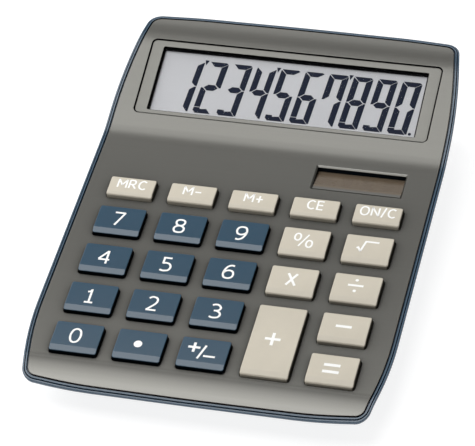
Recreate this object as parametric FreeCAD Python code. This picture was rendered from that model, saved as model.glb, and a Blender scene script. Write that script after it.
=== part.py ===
import FreeCAD, Part
import math
import os
from FreeCAD import Placement, Rotation, Vector

# Desktop calculator with a bent faceplate: a flat keypad deck and a display deck that leans up behind it.
#
# Three frames are used, all in millimetres:
# - the desk frame is the finished part: +Z up, +Y away from the user, Z = 0 under the rubber feet;
# - the deck frame lies on the faceplate: X = 0 is the middle of the keypad, Y = 0 is the crease of the
#   row of keys behind which 7, 8 and 9 lie, and Z = 0 is the faceplate's top over the keypad;
# - the display frame starts at the bend: its Y runs up the display deck and Z = 0 is the faceplate's top.

# Stance on the desk
deck_tilt = 5.0
floor_to_screws = 1.545
foot_height = 1.5

# Outline of the groove that runs round the faceplate: margins beside the keys and beyond the bend, and
# how far the outline narrows from its front knees to the front edge, the rear knees and the rear edge
side_margin = 7.57
front_margin = 8.29
front_shoulder = 17.6
rear_knee_reach = 22.5
rear_reach = 44.1
front_narrowing = 3.1
knee_narrowing = 0.65
rear_narrowing = 3.85
front_bow = 1.65
front_bow_end = 1.35
front_bow_inset = 13.2
rear_bow = 1.1
rear_bow_end = 0.85
rear_bow_inset = 14.1
bow_radius = 1600.0
bow_end_radius = 150.0
front_corner_radius = 3.0
rear_corner_radius = 3.3
front_shoulder_radius = 104.0
rear_shoulder_radius = 175.0

# Side profile of the faceplate's top: the rolls are placed from the front edge and from the bend
front_roll_in = 1.4
front_roll_angle = 25.0
front_roll_radius = 25.0
bend_behind_solar = 9.65
display_tilt = 11.0
bend_radius = 30.0
rear_roll_reach = 38.9
rear_roll_angle = 15.0
rear_roll_radius = 45.0

# Faceplate, rim and lip, from the groove outwards
plate_thickness = 0.6
plate_groove = 0.5
rim_width = 0.45
rim_depth = 1.1
rim_step = 1.5
parting_gap = 0.25
lip_width = 0.55
lip_drop = 0.15
lip_depth = 1.17
lip_round = 1.0
lip_top_round = 0.2

# Housing walls
deck_wall = 1.8
flange_thickness = 1.2
tub_wall = 1.8
tub_inset = 1.2
tub_overlap = 0.6
tub_corner_radius = 5.0
base_side_inset = 7.5
base_front_inset = 7.0
base_rear_inset = 5.5
base_corner_radius = 8.0
base_bevel = 0.8

# Keys
key_columns = 5
key_rows = 4
key_pitch_x = 19.0
key_pitch_y = 15.57
key_width = 14.06
key_depth = 10.75
key_bevel_run = 1.9
key_bevel_drop = 0.55
small_row_gap = 4.98
small_key_depth = 7.42
small_bevel_run = 1.3
small_bevel_drop = 0.4
key_rise = 1.6
key_travel = 1.2
key_gap = 0.33
key_corner = 0.7
cap_wall = 1.1
cap_top = 1.1
tab_thickness = 0.9
tab_reach = 0.9
tab_width = 8.0
stem_width = 5.0
stem_reach = 0.4
press_gap = 0.05
guide_rib_thickness = 0.9
guide_rib_height = 2.0

# Circuit board and rubber keypad mat under the deck
board_top = 7.0
board_thickness = 1.2
board_side_margin = 2.53
board_front_margin = 0.39
board_rear_margin = 6.75
board_front_corner = 8.0
board_rear_corner = 1.0
mat_thickness = 0.8
mat_rear_margin = 1.75
dome_base_radius = 3.6
dome_top_radius = 2.4
boss_radius = 2.0
boss_clearance = 0.4
pilot_radius = 0.8

# Display pocket, frame, window and liquid-crystal panel
pocket_side_margin = 5.55
pocket_length = 28.2
pocket_middle = 22.1
pocket_corner = 1.8
frame_drop = 0.35
frame_clearance = 0.38
frame_thickness = 1.65
frame_side_width = 4.1
frame_front_width = 1.75
frame_rear_width = 2.55
window_ledge = 0.5
window_drop = 0.35
window_thickness = 0.6
window_clearance = 0.12
shelf_thickness = 1.0
shelf_margin = 0.9
shelf_side_inset = 0.9
glass_overlap = 0.9
glass_thickness = 0.7
glass_clearance = 0.25
contact_ledge = 2.6
reflector_thickness = 0.2
strip_width = 2.0
strip_height = 2.5
display_board_thickness = 1.0
display_board_lap = 0.9
display_board_margin = 1.6
display_board_corner = 2.0
display_boss_from_side = 2.0
display_boss_radius = 1.4
display_boss_inset = 7.0

# Solar cell and its window
solar_from_side = 8.75
solar_behind_keys = 10.1
solar_width = 28.2
solar_length = 10.0
solar_chamfer = 0.5
solar_tilt = 11.0
solar_front_drop = 0.3
solar_window_thickness = 0.8
solar_cell_thickness = 1.1
solar_clearance = 0.15
solar_shelf = 1.5
solar_shelf_thickness = 1.0
solar_well_wall = 1.2
lead_radius = 0.5
lead_spacing = 8.0
lead_drop = 1.6
lead_bend = 1.0
lead_end_inset = 2.5

# Ribbon between the two boards
ribbon_width = 24.0
ribbon_from_side = 20.5
ribbon_thickness = 0.3
ribbon_landing = 3.0
ribbon_bend = 6.0

# Chip under its resin blob and the smoothing capacitor, on the board's underside
chip_x = -14.0
chip_y = -6.0
chip_radius = 5.0
chip_height = 1.2
capacitor_x = 2.0
capacitor_inset = 6.0
capacitor_radius = 2.0
capacitor_length = 7.0
capacitor_gap = 0.2

# Button cell, its chamber, contacts and cover
cell_x = 20.0
cell_y = 16.0
cell_radius = 5.8
cell_thickness = 3.1
cell_rim = 0.6
chamber_clearance = 0.7
chamber_wall = 1.2
chamber_roof = 1.0
cover_thickness = 1.4
cover_clearance = 0.2
cover_rim = 1.6
ledge_thickness = 1.0
cover_tab_width = 4.0
cover_tab_reach = 1.4
cover_tab_thickness = 0.6
cover_tab_room = 1.6
latch_width = 6.0
latch_slot = 0.8
latch_recess = 2.2
contact_thickness = 0.3
contact_width = 4.0
contact_clearance = 0.1

# Screws and feet
screw_radius = 1.1
screw_head_radius = 2.1
screw_head_height = 1.3
screw_bite = 0.1
screw_hole_clearance = 0.2
counterbore_depth = 2.0
post_radius = 3.6
rear_post_inset = 8.1
rear_post_behind_bend = 1.0
board_screw_length = 4.0
board_screw_head_radius = 1.6
board_screw_head_height = 0.9
board_screw_radius = 0.7
foot_radius = 4.5
foot_recess = 0.8
foot_clearance = 0.15
foot_inset_x = 8.5
foot_inset_y = 9.0

# Lengths that only reach past what they cut
past = 1.0
far = 60.0
edge_tolerance = 0.01
shortest_side = 0.02

last_row_front = -key_bevel_run - (key_rows - 1) * key_pitch_y
small_key_front_y = key_depth - key_bevel_run + small_row_gap
small_key_rear_y = small_key_front_y + small_key_depth
keypad_half_width = (key_columns - 1) / 2 * key_pitch_x + key_width / 2
front_y = last_row_front - front_margin
front_knee_y = front_y + front_shoulder
front_knee_half = keypad_half_width + side_margin
front_half = front_knee_half - front_narrowing
rear_knee_half = front_knee_half - knee_narrowing
rear_half = rear_knee_half - rear_narrowing
solar_x = rear_knee_half - solar_from_side - solar_width / 2
solar_y = small_key_rear_y + solar_behind_keys
bend_y = solar_y + bend_behind_solar
rear_knee_y = bend_y + rear_knee_reach
rear_y = bend_y + rear_reach
front_roll_y = front_y + front_roll_in
rear_roll_y = bend_y + rear_roll_reach

board_half_width = keypad_half_width - board_side_margin
board_front_y = last_row_front - board_front_margin
board_rear_y = small_key_rear_y + board_rear_margin
mat_rear_y = small_key_rear_y + mat_rear_margin
lead_end_y = board_rear_y - lead_end_inset
ribbon_x = ribbon_from_side - board_half_width
capacitor_y = board_rear_y - capacitor_inset
rear_post_x = rear_half - rear_post_inset
rear_post_y = bend_y + rear_post_behind_bend
pocket_width = 2 * (rear_knee_half - pocket_side_margin)
window_opening_width = pocket_width - 2 * frame_side_width
window_opening_length = pocket_length - frame_front_width - frame_rear_width
window_middle = pocket_middle + (frame_front_width - frame_rear_width) / 2
display_boss_x = pocket_width / 2 - display_boss_from_side
display_board_half_width = display_boss_x + display_board_lap

deck_under = plate_thickness + deck_wall
rim_inner = plate_groove / 2
rim_outer = rim_inner + rim_width
lip_inner = rim_outer + parting_gap
lip_outer = lip_inner + lip_width
flange_under = deck_under + flange_thickness
board_under = board_top + board_thickness
stem_under = deck_under + tab_thickness + stem_reach
dome_top = stem_under + key_travel + press_gap
frame_under = frame_drop + frame_thickness
glass_under = frame_under + glass_thickness
display_board_top = glass_under + strip_height
base_z = foot_height
floor_z = foot_height + tub_wall
lower_gap_y = -key_bevel_run - (key_rows - 2) * key_pitch_y - (key_pitch_y - key_depth) / 2
screw_room = board_under + board_screw_head_height
deck_slope = math.radians(deck_tilt)
screw_drop = screw_room * math.cos(deck_slope) - lower_gap_y * math.sin(deck_slope)
deck_height = floor_z + floor_to_screws + screw_drop

solar_depth = solar_length - 2 * solar_chamfer
solar_front = solar_y - solar_depth / 2
solar_stack = solar_window_thickness + solar_cell_thickness

deck_place = Placement(Vector(0, 0, deck_height), Rotation(Vector(1, 0, 0), deck_tilt))
bend_place = Placement(Vector(0, bend_y, 0), Rotation(Vector(1, 0, 0), display_tilt))
solar_place = Placement(Vector(solar_x, solar_front, -solar_front_drop), Rotation(Vector(1, 0, 0), -solar_tilt))
side_view = Rotation(Vector(1, 1, 1), 120)


def to_desk(shape):
    """Move a shape from the deck frame to the desk frame."""
    return shape.transformed(deck_place.toMatrix(), copy=True)


def display_to_desk(shape):
    """Move a shape from the display frame to the desk frame."""
    return to_desk(shape.transformed(bend_place.toMatrix(), copy=True))


def fuse_all(shapes):
    """Join several shapes into one body and drop the seams between them."""
    return shapes[0].multiFuse(shapes[1:]).removeSplitter()


def block(x_range, y_range, z_range):
    """Box between two limits along each axis."""
    sizes = [high - low for low, high in (x_range, y_range, z_range)]
    return Part.makeBox(*sizes, Vector(x_range[0], y_range[0], z_range[0]))


def post(x, y, radius, z_low, z_high):
    """Upright round bar."""
    return Part.makeCylinder(radius, z_high - z_low, Vector(x, y, z_low))


def corner_rays(corners, index):
    """A corner's place, the unit vectors along its two sides and half the angle between them."""
    here = Vector(corners[index][0], corners[index][1], 0)
    before = corners[index - 1]
    after = corners[(index + 1) % len(corners)]
    back = (Vector(before[0], before[1], 0) - here).normalize()
    ahead = (Vector(after[0], after[1], 0) - here).normalize()
    return here, back, ahead, back.getAngle(ahead) / 2


def fitting_reaches(corners):
    """How far each corner's arc reaches along its sides, shortened where two arcs would meet."""
    count = len(corners)
    reaches = []
    for index, (_, _, radius) in enumerate(corners):
        half_angle = corner_rays(corners, index)[3]
        reaches.append(max(radius, 0) / math.tan(half_angle))
    shares = [1.0] * count
    for index in range(count):
        following = (index + 1) % count
        u, v, _ = corners[index]
        side = math.hypot(corners[following][0] - u, corners[following][1] - v) - shortest_side
        wanted = reaches[index] + reaches[following]
        if wanted > side:
            shares[index] = min(shares[index], side / wanted)
            shares[following] = min(shares[following], side / wanted)
    return [reach * share for reach, share in zip(reaches, shares)]


def rounded_wire(corners, place):
    """Closed wire with tangent arcs at its corners; each corner is (u, v, radius)."""
    spans = []
    for index, reach in enumerate(fitting_reaches(corners)):
        here, back, ahead, half_angle = corner_rays(corners, index)
        if reach > 0:
            radius = reach * math.tan(half_angle)
            sagitta = radius / math.sin(half_angle) - radius
            middle = here + (back + ahead).normalize() * sagitta
            spans.append((here + back * reach, middle, here + ahead * reach))
        else:
            spans.append((here, None, here))
    edges = []
    for index, (start, middle, end) in enumerate(spans):
        if middle is not None:
            edges.append(Part.Arc(start, middle, end).toShape())
        following = spans[(index + 1) % len(spans)][0]
        edges.append(Part.LineSegment(end, following).toShape())
    return Part.Wire(edges).transformed(place.toMatrix(), copy=True)


def rectangle(x_middle, y_middle, width, length, radius):
    """Corners of an upright rectangle, rounded by one radius."""
    left = x_middle - width / 2
    right = x_middle + width / 2
    front = y_middle - length / 2
    rear = y_middle + length / 2
    return [(left, front, radius), (right, front, radius), (right, rear, radius), (left, rear, radius)]


def plate_of(corners, z_low, z_high):
    """Flat piece with a rounded outline between two heights."""
    wire = rounded_wire(corners, Placement(Vector(0, 0, z_low), Rotation()))
    return Part.Face(wire).extrude(Vector(0, 0, z_high - z_low))


def side_piece(corners, x_low, x_high):
    """Piece with a side profile of (y, z, radius) corners, extruded across the width."""
    wire = rounded_wire(corners, Placement(Vector(x_low, 0, 0), side_view))
    return Part.Face(wire).extrude(Vector(x_high - x_low, 0, 0))


def moved_corner(before, here, after, distance):
    """Corner of the same path with its sides moved to the right of its direction."""
    first = Vector(here[0] - before[0], here[1] - before[1], 0).normalize()
    second = Vector(after[0] - here[0], after[1] - here[1], 0).normalize()
    first_normal = Vector(first.y, -first.x, 0)
    second_normal = Vector(second.y, -second.x, 0)
    shift = (first_normal + second_normal) * (distance / (1 + first_normal.dot(second_normal)))
    turn = 1 if first.x * second.y - first.y * second.x > 0 else -1
    return (here[0] + shift.x, here[1] + shift.y, here[2] + turn * distance)


def offset_outline(corners, distance):
    """Closed anticlockwise outline with every side moved outwards."""
    count = len(corners)
    return [
        moved_corner(corners[index - 1], corners[index], corners[(index + 1) % count], distance)
        for index in range(count)
    ]


def ruled_solid(wires):
    """Solid whose sides are straight lines between matching edges of closed wires."""
    faces = [Part.Face(wires[0]), Part.Face(wires[-1])]
    for lower, upper in zip(wires, wires[1:]):
        for low_edge, high_edge in zip(lower.OrderedEdges, upper.OrderedEdges):
            faces.append(Part.makeRuledSurface(low_edge, high_edge))
    shell = Part.makeShell(faces)
    shell.sewShape()
    solid = Part.makeSolid(shell)
    if solid.Volume < 0:
        solid.reverse()
    return solid


def body_outline(side_in=0.0, front_in=0.0, rear_in=0.0, corner=0.0):
    """Barrel-sided plan outline; the insets pull its sides in and corner replaces the corner radii."""
    front = front_y + front_in
    rear = rear_y - rear_in
    front_radius = corner or front_corner_radius
    rear_radius = corner or rear_corner_radius
    right = [
        (0.0, front - front_bow, bow_radius),
        (front_half - front_bow_inset - side_in, front - front_bow_end, bow_end_radius),
        (front_half - side_in, front, front_radius),
        (front_knee_half - side_in, front_knee_y + front_in, front_shoulder_radius),
        (rear_knee_half - side_in, rear_knee_y - rear_in, rear_shoulder_radius),
        (rear_half - side_in, rear, rear_radius),
        (rear_half - rear_bow_inset - side_in, rear + rear_bow_end, bow_end_radius),
        (0.0, rear + rear_bow, bow_radius),
    ]
    left = [(-x, y, radius) for x, y, radius in reversed(right[1:-1])]
    return right + left


def plan_prism(offset):
    """Upright prism of the body's outline, moved out from the groove by offset."""
    return plate_of(offset_outline(body_outline(), offset), -far, far)


def profile_line(height):
    """Side profile of the faceplate's top, moved up by height, from front to rear."""
    roll = math.radians(front_roll_angle)
    rise = math.radians(display_tilt)
    fall = math.radians(display_tilt - rear_roll_angle)
    rear_z = (rear_roll_y - bend_y) * math.tan(rise)
    path = [
        (front_roll_y - far * math.cos(roll) / 2, -far * math.sin(roll) / 2, 0.0),
        (front_roll_y, 0.0, front_roll_radius),
        (bend_y, 0.0, bend_radius),
        (rear_roll_y, rear_z, rear_roll_radius),
        (rear_roll_y + far * math.cos(fall) / 2, rear_z + far * math.sin(fall) / 2, 0.0),
    ]
    line = [moved_corner(path[i - 1], path[i], path[i + 1], -height) for i in range(1, len(path) - 1)]
    start = (path[0][0] - height * math.sin(roll), path[0][1] + height * math.cos(roll), 0.0)
    end = (path[-1][0] - height * math.sin(fall), path[-1][1] + height * math.cos(fall), 0.0)
    return [start] + line + [end]


def slab(top, bottom):
    """Everything between two depths below the faceplate's top, which follows its bends."""
    return side_piece(profile_line(-bottom) + profile_line(-top)[::-1], -far, far)


def deck_point(y, depth):
    """Desk-frame point on the middle line at a depth below the faceplate's top, near its two ends."""
    line = Part.LineSegment(Vector(0, y, -far), Vector(0, y, far)).toShape()
    inside = line.common(slab(depth, far / 2))
    return deck_place.multVec(Vector(0, y, inside.BoundBox.ZMax))


# Keys: name, middle, front edge, depth, and the run and drop of the bevel along the front
key_names = [
    ["key_mrc", "key_m_minus", "key_m_plus", "key_ce", "key_on_c"],
    ["key_7", "key_8", "key_9", "key_percent", "key_root"],
    ["key_4", "key_5", "key_6", "key_times", "key_divide"],
    ["key_1", "key_2", "key_3", None, "key_minus"],
    ["key_0", "key_point", "key_sign", "key_plus", "key_equals"],
]


def column_x(column):
    """Middle of a column of keys."""
    return (column - (key_columns - 1) / 2) * key_pitch_x


def row_front(row):
    """Front edge of a row of keys; row 0 is the row of small keys behind the others."""
    if row == 0:
        return small_key_front_y
    return -key_bevel_run - (row - 1) * key_pitch_y


def key_places():
    """Place and size of every key."""
    places = {}
    for row, names in enumerate(key_names):
        for column, name in enumerate(names):
            if name is None:
                continue
            depth = small_key_depth if row == 0 else key_depth
            if name == "key_plus":
                depth += key_pitch_y
            places[name] = (column_x(column), row_front(row), depth, row == 0)
    return places


def key_cap(x, front, depth, small):
    """Hollow cap with a bevelled front, two retaining tabs and the stems that press the domes."""
    run = small_bevel_run if small else key_bevel_run
    drop = small_bevel_drop if small else key_bevel_drop
    middle = front + depth / 2
    bottom = -deck_under - tab_thickness
    body = plate_of(rectangle(x, middle, key_width, depth, key_corner), bottom, key_rise)
    crease = front + run
    reach = 1 + past / run
    bevel = [
        (crease, key_rise, 0),
        (crease, key_rise + past, 0),
        (crease - run * reach, key_rise + past, 0),
        (crease - run * reach, key_rise - drop * reach, 0),
    ]
    left = x - key_width / 2
    body = body.cut(side_piece(bevel, left - past, left + key_width + past))
    hollow_top = key_rise - cap_top
    hollow = block(
        (left + cap_wall, left + key_width - cap_wall),
        (front + cap_wall, front + depth - cap_wall),
        (bottom - past, hollow_top),
    )
    body = body.cut(hollow)
    tab_out = key_gap + tab_reach
    tab_x = (x - tab_width / 2, x + tab_width / 2)
    front_tab = block(tab_x, (front - tab_out, front + cap_wall), (bottom, -deck_under))
    rear_tab = block(tab_x, (front + depth - cap_wall, front + depth + tab_out), (bottom, -deck_under))
    stems = []
    for dome_y in dome_places(front, depth):
        stem_y = (dome_y - stem_width / 2, dome_y + stem_width / 2)
        if small:
            stem_y = (front + cap_wall, front + depth - cap_wall)
        stems.append(block((x - stem_width / 2, x + stem_width / 2), stem_y, (-stem_under, hollow_top)))
    return fuse_all([body, front_tab, rear_tab] + stems)


def dome_places(front, depth):
    """One dome under the middle of a key, or two under a tall one."""
    middle = front + depth / 2
    if depth > key_pitch_y:
        return [middle - key_pitch_y / 2, middle + key_pitch_y / 2]
    return [middle]


def key_opening(place, clearance, corner, z_range):
    """Tool that opens a wall for one key."""
    x, front, depth, _ = place
    outline = rectangle(x, front + depth / 2, key_width + 2 * clearance, depth + 2 * clearance, corner)
    return plate_of(outline, *z_range)


def cross_places():
    """Middles of the gaps between four keys that carry the bosses: board screws and front posts."""
    gap_x = key_pitch_x / 2
    upper_gap = (row_front(0) + row_front(1) + key_depth) / 2
    lower_gap = row_front(3) - (key_pitch_y - key_depth) / 2
    middle_gap = row_front(2) - (key_pitch_y - key_depth) / 2
    board = [(3 * gap_x * side, upper_gap) for side in (-1, 1)]
    board += [(3 * gap_x * side, middle_gap) for side in (-1, 1)]
    board += [(-gap_x, lower_gap)]
    posts = [(3 * gap_x * side, lower_gap) for side in (-1, 1)]
    return board, posts


board_bosses, front_posts = cross_places()
rear_posts = [(-rear_post_x, rear_post_y), (rear_post_x, rear_post_y)]


def faceplate(places):
    """Thin brushed plate that follows both decks, open for the keys, the display and the solar cell."""
    plate = plan_prism(-rim_inner).common(slab(0, plate_thickness))
    corner = key_corner + key_gap
    holes = [key_opening(place, key_gap, corner, (-far, far)) for place in places.values()]
    pocket = rectangle(0, pocket_middle, pocket_width, pocket_length, pocket_corner)
    holes.append(plate_of(pocket, -far / 4, past).transformed(bend_place.toMatrix(), copy=True))
    plate = plate.cut(Part.makeCompound(holes))
    outer = rectangle(solar_x, solar_y, solar_width, solar_length, solar_chamfer)
    inner_width = solar_width - 2 * solar_chamfer
    inner_length = solar_length - 2 * solar_chamfer
    inner = rectangle(solar_x, solar_y, inner_width, inner_length, solar_chamfer / 2)
    upper_wire = rounded_wire(outer, Placement())
    lower_wire = rounded_wire(inner, Placement(Vector(0, 0, -solar_chamfer), Rotation()))
    plate = plate.cut(Part.makeLoft([upper_wire, lower_wire], True, True))
    return to_desk(plate.cut(plate_of(inner, -deck_under, 0)))


def display_shelf_tools():
    """The ring that carries the display frame, and the tools that open it, in the display frame."""
    ring_width = pocket_width - 2 * shelf_side_inset
    outer = rectangle(0, pocket_middle, ring_width, pocket_length + 2 * shelf_margin, pocket_corner)
    ring = plate_of(outer, -frame_under - shelf_thickness, -plate_thickness - deck_wall / 2)
    pocket = plate_of(
        rectangle(0, pocket_middle, pocket_width, pocket_length, pocket_corner), -frame_under, far / 4
    )
    width, length = glass_size()
    passage = rectangle(0, window_middle, width + 2 * glass_clearance, length + 2 * glass_clearance, 0)
    return ring, pocket, plate_of(passage, -far / 4, past)


def glass_size():
    """Width and length of the liquid-crystal panel: it laps behind the frame on every side."""
    lap = 2 * (glass_overlap - window_ledge)
    return window_opening_width + lap, window_opening_length + lap


def display_boss_places():
    """Four bosses beside the panel that carry the display board."""
    _, length = glass_size()
    low = window_middle - length / 2 + display_boss_inset
    high = window_middle + length / 2 - display_boss_inset
    return [(side * display_boss_x, y) for side in (-1, 1) for y in (low, high)]


def stepped_deck(offset, top):
    """The deck's wall with its overhanging rim, from a depth down to its underside."""
    rim = plan_prism(offset).common(slab(top, rim_depth))
    wall = plan_prism(offset - rim_step).common(slab(top, deck_under))
    return fuse_all([rim, wall])


def top_housing(places):
    """Upper moulding: the deck under the faceplate, its rim, wells, bosses and guide ribs."""
    deck = stepped_deck(rim_outer, 0)
    deck = deck.cut(plan_prism(rim_inner).common(slab(-far / 2, plate_thickness)))
    ring, pocket, passage = display_shelf_tools()
    well_width = solar_width - 2 * solar_chamfer
    well_outer = rectangle(
        solar_x, solar_y, well_width + 2 * solar_well_wall, solar_depth + 2 * solar_well_wall, 0
    )
    well = plate_of(well_outer, -far / 4, -deck_under + deck_wall / 2)
    well = well.cut(solar_block(far, far, (-far, -solar_stack - solar_shelf_thickness)))
    bosses = [
        post(x, y, boss_radius, -board_top, -deck_under + deck_wall / 2)
        for x, y in board_bosses + front_posts
    ]
    ribs = guide_ribs()
    display_bosses = [
        post(x, y, display_boss_radius, -display_board_top, -frame_under - shelf_thickness / 2)
        for x, y in display_boss_places()
    ]
    raised = [ring.transformed(bend_place.toMatrix(), copy=True)]
    raised += [boss.transformed(bend_place.toMatrix(), copy=True) for boss in display_bosses]
    housing = to_desk(fuse_all([deck, well] + bosses + ribs + raised))
    below_deck = to_desk(slab(deck_under - deck_wall / 2, far))
    rear = []
    for x, y in rear_posts:
        desk_y, join_z = rear_post_meeting(y)
        rear.append(post(x, desk_y, post_radius, join_z, far).common(below_deck))
    housing = fuse_all([housing] + rear)
    holes = [key_opening(place, key_gap, 0, (-guide_z(), past)) for place in places.values()]
    holes.append(solar_block(well_width, solar_sloping_depth(), (-solar_stack, far / 4)))
    shelf_depth = solar_sloping_depth() - 2 * solar_shelf
    holes.append(solar_block(well_width - 2 * solar_shelf, shelf_depth, (-far / 4, past)))
    holes += [
        post(x, y, pilot_radius, -board_top - past, -deck_under) for x, y in board_bosses
    ]
    for tool in (pocket, passage):
        holes.append(tool.transformed(bend_place.toMatrix(), copy=True))
    display_pilots = [
        post(x, y, board_screw_radius - screw_bite, -display_board_top - past, -frame_under)
        for x, y in display_boss_places()
    ]
    holes += [pilot.transformed(bend_place.toMatrix(), copy=True) for pilot in display_pilots]
    housing = housing.cut(to_desk(Part.makeCompound(holes)))
    pilots = [screw_bar(x, y, screw_radius - screw_bite) for x, y in housing_screw_places()]
    return housing.cut(Part.makeCompound(pilots))


def solar_sloping_depth():
    """Length of the solar recess measured down its slope."""
    return solar_depth / math.cos(math.radians(solar_tilt))


def solar_block(width, length, z_range):
    """Block in line with the sloping solar cell, centred on it."""
    middle = solar_sloping_depth() / 2
    body = block((-width / 2, width / 2), (middle - length / 2, middle + length / 2), z_range)
    return body.transformed(solar_place.toMatrix(), copy=True)


def guide_z():
    """Depth of the guide ribs' lower edges below the faceplate's top."""
    return deck_under + guide_rib_height


def guide_ribs():
    """Ribs under the deck between the rows of keys; the tall key interrupts the last one."""
    edge = front_knee_half - tub_inset - 2 * tub_wall - past
    plus_x = column_x(3)
    half_hole = key_width / 2 + key_gap
    ribs = []
    for row in (1, 2, 3):
        middle = row_front(row) - (key_pitch_y - key_depth) / 2
        spans = [(-edge, edge)]
        if row == 3:
            spans = [(-edge, plus_x - half_hole - past), (plus_x + half_hole + past, edge)]
        for span in spans:
            y_range = (middle - guide_rib_thickness / 2, middle + guide_rib_thickness / 2)
            ribs.append(block(span, y_range, (-guide_z(), -deck_under + deck_wall / 2)))
    return ribs


def housing_screw_places():
    """Desk-frame middles of the four long screws that clamp the two housings."""
    front = [(x, deck_place.multVec(Vector(0, y, -board_top)).y) for x, y in front_posts]
    rear = [(x, rear_post_meeting(y)[0]) for x, y in rear_posts]
    return front + rear


def rear_post_meeting(y):
    """Desk-frame Y of a rear post and the height at which its two halves meet."""
    top = deck_place.multVec(Vector(0, y, 0))
    return top.y, (base_z + deck_height) / 2


def screw_bar(x, y, radius):
    """Round bar on the axis of one housing screw, as long as its thread."""
    return post(x, y, radius, base_z + counterbore_depth, screw_tip(y))


def screw_tip(y):
    """Height of a housing screw's tip: short of the deck in front, part way up the rear posts."""
    if y > bend_y:
        return rear_post_meeting(y)[1] + 2 * post_radius
    return deck_place.multVec(Vector(0, y, -deck_under)).z - past


def tub(inset, floor):
    """Sloping tub between the lip and the base, smaller by inset all round."""
    front = deck_point(front_y + tub_inset, deck_under - tub_overlap)
    rear = deck_point(rear_y - tub_inset, deck_under - tub_overlap)
    slope = math.degrees(math.atan2(rear.z - front.z, rear.y - front.y))
    stretch = (rear - front).Length / (rear_y - front_y - 2 * tub_inset)
    upper = offset_outline(body_outline(corner=tub_corner_radius), -tub_inset)
    start = front_y + tub_inset
    upper = offset_outline(
        [(x, (y - start) * stretch, radius) for x, y, radius in upper], -inset
    )
    upper_place = Placement(Vector(0, front.y, front.z), Rotation(Vector(1, 0, 0), slope))
    lower = body_outline(base_side_inset, base_front_inset, base_rear_inset, base_corner_radius)
    lower = offset_outline(lower, -inset)
    bottom = offset_outline(lower, -base_bevel)
    wires = [
        rounded_wire(bottom, Placement(Vector(0, 0, base_z + floor), Rotation())),
        rounded_wire(lower, Placement(Vector(0, 0, base_z + floor + base_bevel), Rotation())),
        rounded_wire(upper, upper_place),
    ]
    return ruled_solid(wires)


def lip_band():
    """Flange and lip that stand round the edge, cut back and rounded underneath."""
    band = plan_prism(lip_outer).common(slab(lip_drop, flange_under))
    band = band.makeChamfer(flange_under - lip_depth, rim_edges(band, False))
    band = band.makeFillet(lip_round, rim_edges(band, False))
    return band.makeFillet(lip_top_round, rim_edges(band, True))


def rim_edges(band, upper):
    """Edges along a band's outer wall: those of its upper face, or those that stay clear of it."""
    wall = Part.makeShell([face for face in plan_prism(lip_outer).Faces if face.BoundBox.ZLength > far])
    top = Part.makeShell(slab(lip_drop, far / 4).Faces)
    found = []
    for edge in band.Edges:
        middle = Part.Vertex(edge.valueAt((edge.FirstParameter + edge.LastParameter) / 2))
        if middle.distToShape(wall)[0] > edge_tolerance:
            continue
        on_top = [end.distToShape(top)[0] < edge_tolerance for end in edge.Vertexes]
        if all(on_top) if upper else not any(on_top):
            found.append(edge)
    return found


def chamber_size():
    """Half widths of the button cell's chamber."""
    return cell_radius + chamber_clearance


def chamber_levels():
    """Heights of the cover's inner face, the chamber's ceiling and the chamber's roof."""
    cover_top = base_z + cover_thickness
    ceiling = cover_top + cell_thickness + 2 * contact_clearance + contact_thickness
    return cover_top, ceiling, ceiling + chamber_roof


def cover_size():
    """Half width and half length of the cover's opening in the base."""
    half = chamber_size() + chamber_wall
    return half, half + cover_rim


def bottom_housing():
    """Lower moulding: lip, sloping tub, cell chamber, posts, counterbores and foot recesses."""
    outer = tub(0, 0).common(to_desk(slab(deck_under, far)))
    shell = fuse_all([outer, to_desk(lip_band())])
    shell = shell.cut(to_desk(stepped_deck(lip_inner, -far / 2)))
    shell = shell.cut(tub(tub_wall, tub_wall))
    cover_top, ceiling, roof = chamber_levels()
    half = chamber_size()
    outside = half + chamber_wall
    cell_desk_y = deck_place.multVec(Vector(0, cell_y, 0)).y
    box = block(
        (cell_x - outside, cell_x + outside),
        (cell_desk_y - outside, cell_desk_y + outside),
        (floor_z - tub_wall / 2, roof),
    )
    cover_x, cover_y = cover_size()
    ledge = block(
        (cell_x - cover_x - chamber_wall, cell_x + cover_x + chamber_wall),
        (cell_desk_y - cover_y - chamber_wall, cell_desk_y + cover_y + chamber_wall),
        (floor_z - tub_wall / 2, cover_top + ledge_thickness),
    )
    parts = [shell, box, ledge]
    below_board = to_desk(slab(board_under, far))
    for x, y in housing_screw_places()[:2]:
        parts.append(post(x, y, post_radius, floor_z - tub_wall / 2, far / 2).common(below_board))
    for x, y in housing_screw_places()[2:]:
        parts.append(post(x, y, post_radius, floor_z - tub_wall / 2, rear_post_meeting(y)[1]))
    shell = fuse_all(parts)
    cuts = [
        block(
            (cell_x - half, cell_x + half),
            (cell_desk_y - half, cell_desk_y + half),
            (base_z - past, ceiling),
        )
    ]
    cuts += cover_recess(cell_desk_y)
    cuts += contact_slots(cell_desk_y)
    for x, y in housing_screw_places():
        cuts.append(post(x, y, screw_radius + screw_hole_clearance, base_z - past, far / 2))
        cuts.append(
            post(x, y, screw_head_radius + screw_hole_clearance, base_z - past, base_z + counterbore_depth)
        )
    for x, y in foot_places():
        cuts.append(post(x, y, foot_radius + foot_clearance, base_z - past, base_z + foot_recess))
    return shell.cut(Part.makeCompound(cuts))


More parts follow.
